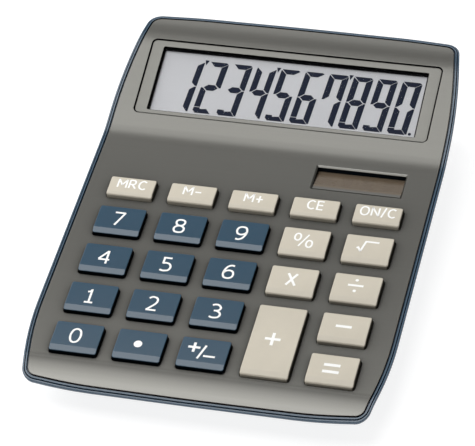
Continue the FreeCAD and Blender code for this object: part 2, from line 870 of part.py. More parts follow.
def cover_recess(middle_y):
    """Opening in the base for the cell cover, with the pockets for its tabs and latch."""
    half_x, half_y = cover_size()
    cover_top = base_z + cover_thickness
    opening = block(
        (cell_x - half_x, cell_x + half_x), (middle_y - half_y, middle_y + half_y), (base_z - past, cover_top)
    )
    pockets = []
    for x in tab_middles():
        pockets.append(
            block(
                (x - cover_tab_width / 2 - cover_clearance, x + cover_tab_width / 2 + cover_clearance),
                (middle_y - half_y - cover_tab_reach - cover_clearance, middle_y - half_y + cover_tab_room),
                (cover_top - cover_tab_thickness - cover_clearance, cover_top + ledge_thickness + past),
            )
        )
    pockets.append(
        block(
            (cell_x - latch_width / 2, cell_x + latch_width / 2),
            (middle_y + half_y - past, middle_y + half_y + latch_recess),
            (base_z - past, base_z + cover_thickness / 2),
        )
    )
    return [opening] + pockets


def tab_middles():
    """Middles of the cover's two tabs."""
    half_x, _ = cover_size()
    return [cell_x - half_x + cover_tab_width, cell_x + half_x - cover_tab_width]


def cell_cover():
    """Cover in the base: a plate with two tabs in front and a thumb latch behind."""
    middle_y = deck_place.multVec(Vector(0, cell_y, 0)).y
    half_x, half_y = cover_size()
    cover_top = base_z + cover_thickness
    x_range = (cell_x - half_x + cover_clearance, cell_x + half_x - cover_clearance)
    y_range = (middle_y - half_y + cover_clearance, middle_y + half_y - cover_clearance)
    plate = block(x_range, y_range, (base_z, cover_top))
    tabs = [
        block(
            (x - cover_tab_width / 2, x + cover_tab_width / 2),
            (middle_y - half_y - cover_tab_reach, y_range[0] + past),
            (cover_top - cover_tab_thickness, cover_top),
        )
        for x in tab_middles()
    ]
    slots = [
        block(
            (cell_x + side * latch_width / 2 - latch_slot / 2, cell_x + side * latch_width / 2 + latch_slot / 2),
            (y_range[1] - latch_width / 2, y_range[1] + past),
            (base_z - past, cover_top + past),
        )
        for side in (-1, 1)
    ]
    return fuse_all([plate] + tabs).cut(Part.makeCompound(slots))


def contact_slots(middle_y):
    """Slots in the chamber's roof for the two spring contacts."""
    _, ceiling, roof = chamber_levels()
    slots = []
    for place_y in contact_places(middle_y):
        slots.append(
            block(
                (cell_x - contact_width / 2 - contact_clearance, cell_x + contact_width / 2 + contact_clearance),
                (place_y - contact_clearance, place_y + contact_thickness + contact_clearance),
                (ceiling - past / 2, roof + past),
            )
        )
    return slots


def contact_places(middle_y):
    """Front faces of the upright legs of the roof contact and of the side contact."""
    half = chamber_size()
    return middle_y - half + past, middle_y + half - contact_thickness - contact_clearance


def button_cell():
    """Round cell with the step round its negative cap."""
    middle_y = deck_place.multVec(Vector(0, cell_y, 0)).y
    cover_top, _, _ = chamber_levels()
    can = post(cell_x, middle_y, cell_radius, cover_top + cell_rim, cover_top + cell_thickness)
    cap = post(cell_x, middle_y, cell_radius - cell_rim, cover_top, cover_top + cell_thickness / 2)
    return fuse_all([can, cap])


def contacts():
    """Two bent strips from the board down to the cell: one on its top and one beside it."""
    middle_y = deck_place.multVec(Vector(0, cell_y, 0)).y
    cover_top, ceiling, _ = chamber_levels()
    roof_y, side_y = contact_places(middle_y)
    x_range = (cell_x - contact_width / 2, cell_x + contact_width / 2)
    below_board = to_desk(slab(board_under, far))
    leg = block(x_range, (roof_y, roof_y + contact_thickness), (ceiling - contact_thickness, far / 2))
    tongue = block(x_range, (roof_y, middle_y + cell_radius / 2), (ceiling - contact_thickness, ceiling))
    upper = fuse_all([leg, tongue]).common(below_board)
    side = block(x_range, (side_y, side_y + contact_thickness), (cover_top + past, far / 2)).common(below_board)
    return upper, side


def board_outline(rear):
    """Outline of the main board or the mat on it, with large rounded corners in front."""
    return [
        (-board_half_width, board_front_y, board_front_corner),
        (board_half_width, board_front_y, board_front_corner),
        (board_half_width, rear, board_rear_corner),
        (-board_half_width, rear, board_rear_corner),
    ]


def circuit_board():
    """Main board under the keypad, drilled for the bosses' screws and the long front screws."""
    board = plate_of(board_outline(board_rear_y), -board_under, -board_top)
    holes = [post(x, y, board_screw_radius + boss_clearance / 2, -far, 0) for x, y in board_bosses]
    board = to_desk(board.cut(Part.makeCompound(holes)))
    passages = [
        post(x, y, screw_radius + screw_hole_clearance, 0, far) for x, y in housing_screw_places()[:2]
    ]
    return board.cut(Part.makeCompound(passages))


def keypad_mat(places):
    """Rubber sheet with one dome under each key and a hole round each boss."""
    sheet = plate_of(board_outline(mat_rear_y), -board_top, mat_thickness - board_top)
    base = mat_thickness - board_top
    domes = []
    for x, front, depth, _ in places.values():
        for y in dome_places(front, depth):
            domes.append(
                Part.makeCone(dome_base_radius, dome_top_radius, -dome_top - base, Vector(x, y, base))
            )
    mat = sheet.multiFuse(domes)
    holes = [post(x, y, boss_radius + boss_clearance, -far, 0) for x, y in board_bosses + front_posts]
    return to_desk(mat.cut(Part.makeCompound(holes)))


def board_screws():
    """Short screws that hold the main board to the deck's bosses."""
    screws = []
    for x, y in board_bosses:
        shank = post(x, y, board_screw_radius, -board_under - screw_bite, board_screw_length - board_under)
        head = post(x, y, board_screw_head_radius, -board_under - board_screw_head_height, -board_under)
        screws.append(to_desk(fuse_all([shank, head])))
    return Part.makeCompound(screws)


def display_screws():
    """Short screws that hold the display board."""
    under = display_board_top + display_board_thickness
    screws = []
    for x, y in display_boss_places():
        shank = post(x, y, board_screw_radius - screw_bite, -under - screw_bite, board_screw_length / 2 - under)
        head = post(x, y, display_boss_radius - screw_bite, -under - board_screw_head_height, -under)
        screws.append(display_to_desk(fuse_all([shank, head])))
    return Part.makeCompound(screws)


def housing_screws():
    """Long screws up through the base into the deck's posts."""
    screws = []
    for x, y in housing_screw_places():
        seat = base_z + counterbore_depth
        shank = post(x, y, screw_radius - screw_bite, seat - screw_bite, screw_tip(y) - past)
        head = post(x, y, screw_head_radius, seat - screw_head_height, seat)
        screws.append(fuse_all([shank, head]))
    return Part.makeCompound(screws)


def foot_places():
    """Desk-frame middles of the four feet."""
    half = front_knee_half - base_side_inset - foot_inset_x
    front = front_y + base_front_inset + foot_inset_y
    rear = rear_y - base_rear_inset - foot_inset_y
    return [(side * half, y) for side in (-1, 1) for y in (front, rear)]


def rubber_feet():
    """Round feet seated in the base."""
    return Part.makeCompound([post(x, y, foot_radius, 0, base_z + foot_recess) for x, y in foot_places()])


def display_frame():
    """Sunken frame of the display with a stepped opening."""
    width = pocket_width - 2 * frame_clearance
    length = pocket_length - 2 * frame_clearance
    corner = pocket_corner - frame_clearance
    body = plate_of(rectangle(0, pocket_middle, width, length, corner), -frame_under, -frame_drop)
    ledge = frame_drop + window_drop + window_thickness
    opening = rectangle(0, window_middle, window_opening_width, window_opening_length, window_ledge)
    body = body.cut(plate_of(opening, -ledge, 0))
    inner_width = window_opening_width - 2 * window_ledge
    inner_length = window_opening_length - 2 * window_ledge
    inner = rectangle(0, window_middle, inner_width, inner_length, window_ledge / 2)
    return display_to_desk(body.cut(plate_of(inner, -far, 0)))


def display_window():
    """Clear window on the frame's ledge."""
    width = window_opening_width - 2 * window_clearance
    length = window_opening_length - 2 * window_clearance
    top = frame_drop + window_drop
    outline = rectangle(0, window_middle, width, length, window_ledge)
    return display_to_desk(plate_of(outline, -top - window_thickness, -top))


def display_stack():
    """Liquid-crystal panel and what carries it: two glasses, reflector, rubber strip, pad and board."""
    width, length = glass_size()
    front = window_middle - length / 2
    rear = window_middle + length / 2
    x_range = (-width / 2, width / 2)
    rear_glass_under = glass_under + glass_thickness
    reflector_under = rear_glass_under + reflector_thickness
    rear_span = (front + contact_ledge, rear)
    strip_y = (front + (contact_ledge - strip_width) / 2, front + (contact_ledge + strip_width) / 2)
    board_rear = pocket_middle + pocket_length / 2 - display_board_margin
    board = rectangle(
        0, (front + board_rear) / 2, 2 * display_board_half_width, board_rear - front, display_board_corner
    )
    board_under = display_board_top + display_board_thickness
    pieces = {
        "lcd_front_glass": block(x_range, (front, rear), (-glass_under, -frame_under)),
        "lcd_rear_glass": block(x_range, rear_span, (-rear_glass_under, -glass_under)),
        "lcd_reflector": block(x_range, rear_span, (-reflector_under, -rear_glass_under)),
        "lcd_cushion": block(x_range, rear_span, (-display_board_top, -reflector_under)),
        "contact_strip": block(
            (x_range[0] + contact_ledge, x_range[1] - contact_ledge), strip_y, (-display_board_top, -glass_under)
        ),
        "display_board": plate_of(board, -board_under, -display_board_top).cut(
            Part.makeCompound(
                [post(x, y, board_screw_radius, -far, 0) for x, y in display_boss_places()]
            )
        ),
    }
    return {name: display_to_desk(shape) for name, shape in pieces.items()}


def solar_pieces():
    """Tinted window, cell and two leads of the solar supply."""
    width = solar_width - 2 * solar_chamfer - 2 * solar_clearance
    length = solar_sloping_depth() - 2 * solar_clearance
    middle = solar_place.multVec(Vector(0, solar_sloping_depth() / 2, -solar_stack))
    lowest = middle.z - (solar_y + lead_radius - middle.y) * math.tan(math.radians(solar_tilt))
    start = edge_tolerance - lowest
    pieces = {
        "solar_window": solar_block(width, length, (-solar_window_thickness, 0)),
        "solar_cell": solar_block(width, length, (-solar_stack, -solar_window_thickness)),
        "solar_leads": Part.makeCompound(
            [solar_lead(solar_x + side * lead_spacing / 2, start) for side in (-1, 1)]
        ),
    }
    return {name: to_desk(shape) for name, shape in pieces.items()}


def solar_lead(x, start):
    """One insulated lead: down from the cell, forward, and down to the board."""
    turn_z = -start - lead_drop
    corners = [
        Vector(x, solar_y, -start),
        Vector(x, solar_y, turn_z),
        Vector(x, lead_end_y, turn_z),
        Vector(x, lead_end_y, -board_top),
    ]
    path = bent_path(corners, lead_bend)
    circle = Part.Wire(Part.makeCircle(lead_radius, corners[0], Vector(0, 0, -1)))
    return path.makePipeShell([circle], True, False)


def bent_path(corners, radius):
    """Open path of straight runs joined by tangent arcs."""
    edges = []
    start = corners[0]
    for before, here, after in zip(corners, corners[1:], corners[2:]):
        back = (before - here).normalize()
        ahead = (after - here).normalize()
        half_angle = back.getAngle(ahead) / 2
        reach = radius / math.tan(half_angle)
        sagitta = radius / math.sin(half_angle) - radius
        middle = here + (back + ahead).normalize() * sagitta
        edges.append(Part.LineSegment(start, here + back * reach).toShape())
        edges.append(Part.Arc(here + back * reach, middle, here + ahead * reach).toShape())
        start = here + ahead * reach
    edges.append(Part.LineSegment(start, corners[-1]).toShape())
    return Part.Wire(edges)


def ribbon_cable():
    """Flat ribbon from the display board's underside to the rear edge of the main board."""
    under = display_board_top + display_board_thickness
    front = window_middle - glass_size()[1] / 2
    landing = bend_place.multVec(Vector(0, front + ribbon_landing, -under))
    edge = bend_place.multVec(Vector(0, front - ribbon_landing, -under))
    board_edge = (board_rear_y, ribbon_thickness - board_top)
    line = [
        (landing.y, landing.z, 0.0),
        (edge.y, edge.z, ribbon_bend),
        (board_edge[0] + ribbon_landing, board_edge[1], ribbon_bend),
        (board_edge[0] - ribbon_landing, board_edge[1], 0.0),
    ]
    inner = [moved_corner(line[i - 1], line[i], line[i + 1], -ribbon_thickness) for i in (1, 2)]
    start_shift = bend_place.Rotation.multVec(Vector(0, 0, -ribbon_thickness))
    first = (line[0][0] + start_shift.y, line[0][1] + start_shift.z, 0.0)
    last = (line[-1][0], -board_top, 0.0)
    corners = line + [last] + inner[::-1] + [first]
    return to_desk(side_piece(corners, ribbon_x - ribbon_width / 2, ribbon_x + ribbon_width / 2))


def board_parts():
    """Chip under its resin blob and the capacitor, both on the board's underside."""
    blob = post(chip_x, chip_y, chip_radius, -board_under - chip_height, -board_under)
    blob = blob.makeFillet(chip_height / 2, [blob.Edges[-1]])
    start = Vector(capacitor_x - capacitor_length / 2, capacitor_y, -board_under - capacitor_radius - capacitor_gap)
    can = Part.makeCylinder(capacitor_radius, capacitor_length, start, Vector(1, 0, 0))
    return {"chip_blob": to_desk(blob), "capacitor": to_desk(can)}


def build():
    """Every node of the calculator in the desk frame."""
    places = key_places()
    nodes = {
        "top_housing": top_housing(places),
        "bottom_housing": bottom_housing(),
        "faceplate": faceplate(places),
        "display_frame": display_frame(),
        "display_window": display_window(),
        "circuit_board": circuit_board(),
        "keypad_mat": keypad_mat(places),
        "board_screws": board_screws(),
        "display_screws": display_screws(),
        "housing_screws": housing_screws(),
        "rubber_feet": rubber_feet(),
        "cell_cover": cell_cover(),
        "button_cell": button_cell(),
        "ribbon_cable": ribbon_cable(),
    }
    nodes["cell_contact"], nodes["side_contact"] = contacts()
    nodes.update(display_stack())
    nodes.update(solar_pieces())
    nodes.update(board_parts())
    for name, place in places.items():
        nodes[name] = to_desk(key_cap(*place))
    return nodes


def main():
    """Build the nodes, centre them over the desk frame's origin and write one STEP file each."""
    os.makedirs("parts", exist_ok=True)
    nodes = build()
    box = nodes["bottom_housing"].optimalBoundingBox(False)
    shift = Vector(0, -(box.YMin + box.YMax) / 2, 0)
    for name, shape in nodes.items():
        shape.translate(shift)
        shape.exportStep(os.path.join("parts", name + ".step"))
    print("nodes", len(nodes), "length", round(box.YLength, 2), "width", round(box.XLength, 2))
    pivot = deck_place.multVec(Vector(0, cell_y, 0)).y - cover_size()[1] + shift.y
    print("shift along Y", round(shift.y, 4), "cover pivot", cell_x, round(pivot, 4), base_z)
    print("first foot", [round(value, 4) for value in foot_places()[0]])


main()
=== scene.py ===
import math

import bmesh
import bpy
from bpy.props import FloatProperty, FloatVectorProperty, PointerProperty, StringProperty
from bpy.types import Operator, Panel, PropertyGroup
from mathutils import Matrix, Vector


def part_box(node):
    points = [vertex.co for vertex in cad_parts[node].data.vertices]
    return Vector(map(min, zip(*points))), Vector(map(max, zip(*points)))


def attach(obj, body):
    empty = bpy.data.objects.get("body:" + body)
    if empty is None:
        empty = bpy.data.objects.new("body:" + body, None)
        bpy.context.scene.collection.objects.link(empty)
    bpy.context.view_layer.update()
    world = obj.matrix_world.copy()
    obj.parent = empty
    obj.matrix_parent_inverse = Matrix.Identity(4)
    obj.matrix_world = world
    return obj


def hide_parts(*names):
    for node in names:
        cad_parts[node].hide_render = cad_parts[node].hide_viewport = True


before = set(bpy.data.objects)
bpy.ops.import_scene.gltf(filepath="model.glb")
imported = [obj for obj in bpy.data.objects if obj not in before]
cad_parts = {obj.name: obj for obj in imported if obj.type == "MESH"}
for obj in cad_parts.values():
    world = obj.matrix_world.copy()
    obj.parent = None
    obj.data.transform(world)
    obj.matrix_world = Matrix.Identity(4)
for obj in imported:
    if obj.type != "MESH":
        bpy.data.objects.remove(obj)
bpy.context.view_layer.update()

bl_info = {
    "name": "Desktop calculator dressing",
    "version": (1, 0, 0),
    "blender": (4, 5, 0),
    "location": "3D View > Sidebar > Calculator",
    "description": "Keys, legends, display digits, finishes and studio for a desktop calculator",
    "category": "Add Mesh",
}

# Sizes are in millimetres unless a comment says metres, and MM turns them into metres
MM = 0.001

# Frames of the model: the deck carries the keys, and the display deck leans up behind its bend
DECK_TILT = 5.0
DECK_HEIGHT = 17.0
DISPLAY_LEAN = 11.0
BEND_Y = 41.0

# Keys
KEY_COLUMNS = 5
KEY_PITCH_X = 19.0
KEY_PITCH_Y = 15.57
KEY_WIDTH = 14.36
KEY_DEPTH = 10.75
KEY_RISE = 1.6
KEY_CORNER = 0.7
BEVEL_RUN = 1.9
BEVEL_DROP = 0.55
SMALL_KEY_FRONT = 13.83
SMALL_KEY_DEPTH = 7.42
SMALL_BEVEL_RUN = 1.3
SMALL_BEVEL_DROP = 0.4
LEGEND_SHIFT = (-0.4, -0.45)
SMALL_LEGEND_SHIFT = (-0.1, 0.3)
DECK_UNDER = 2.4
TAB_THICKNESS = 0.9
TAB_REACH = 1.23
TAB_WIDTH = 8.0
CAP_WALL = 1.1
LEAST_CORNER = 0.04
CORNER_STEPS = 6
ROUND_STEPS = 5
NUMBER_CREASE = 0.08
FUNCTION_CREASE = 0.3

# Angles in degrees above which an edge stays sharp
KEY_SHARP_ANGLE = 50
PRINT_SHARP_ANGLE = 30

# Liquid-crystal panel
PANEL_DEPTH = 2.0
DIGIT_BASE = 11.35
DIGIT_HEIGHT = 19.4
DIGIT_WIDTH = 6.2
DIGIT_PITCH = 7.68
DIGIT_SLANT = 4.65
LAST_DIGIT_X = 32.95
STROKE_X = 1.95
STROKE_Y = 1.75
SEGMENT_GAP = 0.2
SEGMENT_SOFT = 0.45
DIGITS_PER_TICK = 3
TICK_WIDTH = 1.35
TICK_HEIGHT = 1.9
TICK_RISE = 0.35
TICK_SHIFT = 0.65
POINT_RADIUS = 0.5
POINT_PLACE = (40.1, 11.8)
POINT_SIDES = 24

# Shares of a bar's stroke: its pointed end, its shoulder, half the middle bar and the foot
NIB = 0.35
SHOULDER = 0.78
WAIST = 0.62
FOOT = 1.2

# Camera: its place and the nearest and farthest that it sees in metres, the directions of the picture's
# right side and top, and the width of its sensor
CAMERA_PLACE = (0.20772, -0.64545, 0.61808)
CAMERA_RIGHT = (0.96598, 0.24754, -0.07487)
CAMERA_UP = (-0.11138, 0.65949, 0.74342)
CAMERA_CLIP = (0.05, 20)
SENSOR_WIDTH = 36

# Floor and soft boxes, in metres: name, power setting, place, target, width and height
FLOOR_HALF = 2.0
SOFT_BOXES = [
    ("overhead_box", "overhead_light", (-0.35, 0.03, 0.75), (-0.35, 0.03, 0), 0.9, 0.73),
    ("rear_box", "rear_light", (0.0, 0.65, 0.5), (0, 0, 0), 1.2, 0.3),
    ("front_box", "front_light", (-0.1, -0.9, 0.72), (0, 0, 0), 0.8, 0.3),
    ("rear_left_box", "side_light", (-0.7, 0.35, 0.45), (0, 0, 0), 0.4, 0.4),
]

# Noises of the materials: waves per metre, detail and stretch along X, Y and Z
COLOUR_DRIFT = (90, 3)
POLISH_DRIFT = (700, 2)
SPARK_GRAIN = (5200, 3)
BRUSH_TINT = (1500, 4, (0.02, 1, 1))
BRUSH_POLISH = (3600, 4, (0.015, 1, 1))
BRUSH_LINES = (4000, 2, (0.01, 1, 1))
RUBBER_BLOOM = (400, 4)
RUBBER_GRAIN = (3500, 4)
PLATING_TINT = (1500, 3)
PLATING_POLISH = (3000, 2)
TURNING_MARKS = (8000, 2, (1, 1, 0.2))
SHEET_WAVES = (60, 2)
CELL_POLISH = (500, 2)
POLARISER_TINT = (60, 4)
FILM_GRAIN = (9000, 2)
INK_TINT = (2500, 3)
PAPER_TINT = (3, 2)

# Middle share of a noise's range, over which it carries its change
WAVE_SPAN = (0.3, 0.7)

# Painted shade in grooves: reach, then the open shares of the sky that count as dark and as clear
HOUSING_GROOVES = (3.0, 0.25, 0.6)
NARROW_GROOVES = (1.2, 0.3, 0.62)
WIDE_GROOVES = (8.0, 0.5, 1.0)
GROOVE_SHADE = 0.03
GROOVE_SAMPLES = 8

# Edges that catch the light as if rounded: their radii and the samples that find them
HOUSING_EDGE = 0.18
PLATE_EDGE = 0.3
EDGE_SAMPLES = 6

# Painted shade on walls that lie in shadow: lit direction, share of colour left in the painted shade and
# cosine that counts as lit; the share is reached where the cosine is lower by WALL_TURN
UNLIT_WALLS = ((0, 0, 1), 0.05, 0.9)
FRONT_LIT_WALLS = ((-0.35, -0.55, 0.76), 0.1, 0.76)
BRIGHT_FRONT_WALLS = ((-0.3, -0.75, 0.6), 0.1, 0.6)
WALL_TURN = 0.5

# Faceplate: painted shade of its cut edges and of grooves in its flat face, painted highlight on the bevels
# that face the front, painted shade and highlight along the front roll and height of the brushed lines
CUT_EDGES = (0.08, 0.8)
FLAT_COSINES = (0.8, 0.95)
FLAT_SHADES = (1.0, 0.22)
BEVEL_FACING = (0, -0.72, 0.69)
BEVEL_COSINES = (0.93, 0.98)
BEVEL_PAINTED_HIGHLIGHT = (1.0, 2.6)
ROLL_PAINTED_LIGHT = [((-64.2, -62.4), (0.58, 1.0)), ((-70.0, -64.2), (2.35, 1.0))]
BRUSH_HEIGHT = 0.0003

# Walls of the solar cell's light well, darkened by painted shade: how far they lie round the window, and the
# painted shade's share
WELL_MARGIN = 1.5
WELL_PAINTED_SHADE = 0.12

# Gloss of the windows, and the share of the solar window's depth that fades
WINDOW_GLOSS = 0.2
WINDOW_FADE = 0.3

# Texture scales of the cell's strips and the boards' tracks, and the tracks' width at that scale
STRIP_SCALE = 50
TRACK_SCALE = 260
TRACK_WIDTH = 0.025

# Bars of each digit, lettered clockwise from the top, with the middle one last
SEGMENTS = {
    "0": "abcdef", "1": "bc", "2": "abdeg", "3": "abcdg", "4": "bcfg",
    "5": "acdfg", "6": "acdefg", "7": "abcf", "8": "abcdefg", "9": "abcdfg",
}

# Rows of keys from the back, named as their nodes after key_; each is printed as named or with its word
KEY_ROWS = [
    ["mrc", "m_minus", "m_plus", "ce", "on_c"],
    ["7", "8", "9", "percent", "root"],
    ["4", "5", "6", "times", "divide"],
    ["1", "2", "3", None, "minus"],
    ["0", "point", "sign", "plus", "equals"],
]
WORDS = {"mrc": "MRC", "m_minus": "M-", "m_plus": "M+", "ce": "CE", "on_c": "ON/C"}
NUMBER_COLUMNS = 3

# Characters as strokes on a unit square, after the width in cap heights: line, curve or closed loop
SPLINE_STEPS = 6
LETTER_GAP = 0.11
LAYER_STEP = 0.002
LEAST_MITRE = 0.7
DOT_SIDES = 32
SIX = [(0.93, 0.97), (0.64, 1.0), (0.30, 0.89), (0.07, 0.62), (0.0, 0.32), (0.15, 0.07), (0.5, 0.0),
       (0.87, 0.08), (1.0, 0.31), (0.86, 0.54), (0.52, 0.61), (0.2, 0.54), (0.03, 0.4)]
ROUND = [(0.5, 1), (0.86, 0.87), (1, 0.5), (0.86, 0.13), (0.5, 0), (0.14, 0.13), (0, 0.5), (0.14, 0.87)]
GLYPHS = {
    "0": (0.65, [("loop", ROUND)]),
    "1": (0.56, [
        ("line", [(0.52, 0), (0.52, 1)]),
        ("curve", [(0.52, 0.98), (0.38, 0.84), (0.08, 0.8)]),
        ("line", [(0, 0), (1, 0)]),
    ]),
    "2": (0.65, [
        ("curve", [(0.04, 0.87), (0.24, 0.97), (0.48, 1.0), (0.8, 0.92), (0.9, 0.72), (0.78, 0.5),
            (0.42, 0.24), (0.05, 0.0)]),
        ("line", [(0.0, 0), (1, 0)]),
    ]),
    "3": (0.65, [
        ("curve", [(0.05, 0.93), (0.32, 1.0), (0.66, 0.97), (0.9, 0.78), (0.76, 0.59), (0.45, 0.535)]),
        ("curve", [(0.3, 0.535), (0.55, 0.53), (0.86, 0.44), (1.0, 0.26), (0.84, 0.06), (0.45, 0.0),
            (0.18, 0.02), (0.0, 0.08)]),
    ]),
    "4": (0.70, [
        ("line", [(0.76, 0), (0.76, 1)]),
        ("line", [(0.74, 0.98), (0.02, 0.33)]),
        ("line", [(0.0, 0.31), (1, 0.31)]),
    ]),
    "5": (0.64, [
        ("line", [(0.92, 1), (0.16, 1), (0.16, 0.55)]),
        ("curve", [(0.14, 0.57), (0.45, 0.61), (0.82, 0.54), (1.0, 0.31), (0.85, 0.07), (0.45, 0.0),
            (0.18, 0.01), (0.0, 0.06)]),
    ]),
    "6": (0.65, [("curve", SIX)]),
    "7": (0.65, [("line", [(0, 1), (1, 1), (0.28, 0)])]),
    "8": (0.65, [
        ("loop", [(0.5, 1), (0.84, 0.94), (0.93, 0.77), (0.8, 0.6), (0.5, 0.53), (0.2, 0.6), (0.07, 0.77),
            (0.16, 0.94)]),
        ("loop", [(0.5, 0.53), (0.87, 0.44), (1, 0.26), (0.87, 0.06), (0.5, 0), (0.13, 0.06), (0, 0.26),
            (0.13, 0.44)]),
    ]),
    "9": (0.65, [("curve", [(1 - x, 1 - y) for x, y in SIX])]),
    "M": (0.82, [("line", [(0, 0), (0, 1), (0.5, 0.32), (1, 1), (1, 0)])]),
    "R": (0.68, [
        ("line", [(0, 0), (0, 1)]),
        ("curve", [(0, 1), (0.42, 1), (0.74, 0.94), (0.84, 0.74), (0.72, 0.54), (0.4, 0.48), (0, 0.48)]),
        ("line", [(0.42, 0.48), (1, 0)]),
    ]),
    "C": (0.68, [
        ("curve", [(1, 0.88), (0.8, 0.97), (0.55, 1), (0.16, 0.85), (0, 0.5), (0.16, 0.15), (0.55, 0),
            (0.8, 0.03), (1, 0.12)]),
    ]),
    "E": (0.60, [("line", [(1, 1), (0, 1), (0, 0), (1, 0)]), ("line", [(0, 0.53), (0.93, 0.53)])]),
    "O": (0.78, [("loop", ROUND)]),
    "N": (0.70, [("line", [(0, 0), (0, 1), (1, 0), (1, 1)])]),
    "/": (0.40, [("line", [(0, -0.1), (1, 1.1)])]),
    "+": (0.66, [("line", [(0, 0.42), (1, 0.42)]), ("line", [(0.5, 0), (0.5, 0.84)])]),
    "-": (0.62, [("line", [(0, 0.42), (1, 0.42)])]),
}

# Signs drawn in millimetres about the middle of a key's top, each stroke with its own width
PERCENT_RING = ((0, 1), (0.75, 0.7), (1, 0), (0.75, -0.7), (0, -1), (-0.75, -0.7), (-1, 0), (-0.75, 0.7))
SIGNS = {
    "plus": [("line", [(-2.4, 0), (2.2, 0)], 0.9), ("line", [(-0.1, -2.35), (-0.1, 2.35)], 0.9)],
    "minus": [("line", [(-2.35, 0.1), (2.35, 0.1)], 0.9)],
    "equals": [("line", [(-2.45, 0.95), (2.35, 0.95)], 1.0), ("line", [(-2.45, -1.55), (2.35, -1.55)], 1.0)],
    "divide": [("line", [(-2.3, 0.5), (2.3, 0.5)], 0.75), ("dot", [(0, 2.55), (0, -1.6)], 1.0)],
    "times": [("line", [(-1.35, 2.2), (1.35, -2.35)], 0.75), ("line", [(1.35, 2.2), (-1.35, -2.35)], 0.75)],
    "point": [("dot", [(-0.15, -0.2)], 2.5)],
    "root": [("line", [(-3.0, -0.45), (-2.5, -0.15), (-1.65, -1.65), (-0.65, 2.35), (3.3, 2.35)], 0.6)],
    "percent": [
        ("loop", [(-2.0 + 0.9 * x, 1.2 + 1.35 * y) for x, y in PERCENT_RING], 0.55),
        ("loop", [(1.85 + 0.9 * x, -1.15 + 1.35 * y) for x, y in PERCENT_RING], 0.55),
        ("line", [(-1.2, -2.4), (1.2, 2.45)], 0.5),
    ],
    "sign": [
        ("line", [(-4.5, 1.25), (-0.9, 1.25)], 0.8), ("line", [(-2.7, -0.5), (-2.7, 3.0)], 0.8),
        ("line", [(-0.95, -2.8), (0.7, 2.35)], 0.65), ("line", [(0.6, -1.6), (4.1, -1.6)], 0.65),
    ],
}


def deck_frame():
    """Matrix of the deck frame; its place along Y comes from the front tab of the first number key."""
    tilt = math.radians(DECK_TILT)
    tab_front = -BEVEL_RUN - TAB_REACH
    in_deck = tab_front * math.cos(tilt) + DECK_UNDER * math.sin(tilt)
    origin_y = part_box("key_7")[0].y - in_deck * MM
    return Matrix.Translation((0, origin_y, DECK_HEIGHT * MM)) @ Matrix.Rotation(tilt, 4, "X")


def display_frame():
    """Matrix of the frame that lies on the display deck and starts at the bend."""
    lean = Matrix.Rotation(math.radians(DISPLAY_LEAN), 4, "X")
    return deck_frame() @ Matrix.Translation((0, BEND_Y * MM, 0)) @ lean


# Meshes

def add_to_scene(name, data):
    """Object with its data in the scene's own collection."""
    added = bpy.data.objects.new(name, data)
    bpy.context.scene.collection.objects.link(added)
    return added


def add_piece(name, mesh, matrix, body, material):
    """Object that stands at matrix, rides on a body and wears one material."""
    piece = add_to_scene(name, mesh)
    piece.matrix_world = matrix
    mesh.materials.clear()
    mesh.materials.append(material)
    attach(piece, body)
    return piece


def finished_mesh(bm, name, crease_angle):
    """Mesh from bmesh with smooth faces, sharp only at the angles above crease_angle."""
    bmesh.ops.recalc_face_normals(bm, faces=bm.faces)
    mesh = bpy.data.meshes.new(name)
    bm.to_mesh(mesh)
    bm.free()
    mesh.shade_smooth()
    mesh.set_sharp_from_angle(angle=math.radians(crease_angle))
    return mesh


def rounded_rectangle(width, depth, corner, inset, side_stops):
    """Points of a rectangle's outline from its front left corner on, with stops along its sides."""
    radius = max(corner - inset, LEAST_CORNER)
    side = width / 2 - inset - radius
    front = inset + radius
    rear = depth - inset - radius

    def arc(x, y, first):
        turns = [math.radians(first + 90 * i / CORNER_STEPS) for i in range(CORNER_STEPS + 1)]
        return [(x + radius * math.cos(t), y + radius * math.sin(t)) for t in turns]

    points = arc(-side, front, 180) + arc(side, front, 270)
    points += [(width / 2 - inset, y) for y in side_stops]
    points += arc(side, rear, 0) + arc(-side, rear, 90)
    points += [(inset - width / 2, y) for y in reversed(side_stops)]
    return points


def join_rings(bm, low, high):
    """Faces all round between two rings of corners."""
    for i in range(len(low)):
        j = (i + 1) % len(low)
        bm.faces.new((low[i], low[j], high[j], high[i]))


def add_block(bm, x_range, y_range, z_range):
    """Closed block between two corners, in millimetres."""
    places = [(x * MM, y * MM, z * MM) for z in z_range for y in y_range for x in x_range]
    corners = [bm.verts.new(place) for place in places]
    for face in ((0, 2, 3, 1), (4, 5, 7, 6), (0, 1, 5, 4), (2, 6, 7, 3), (0, 4, 6, 2), (1, 3, 7, 5)):
        bm.faces.new([corners[i] for i in face])


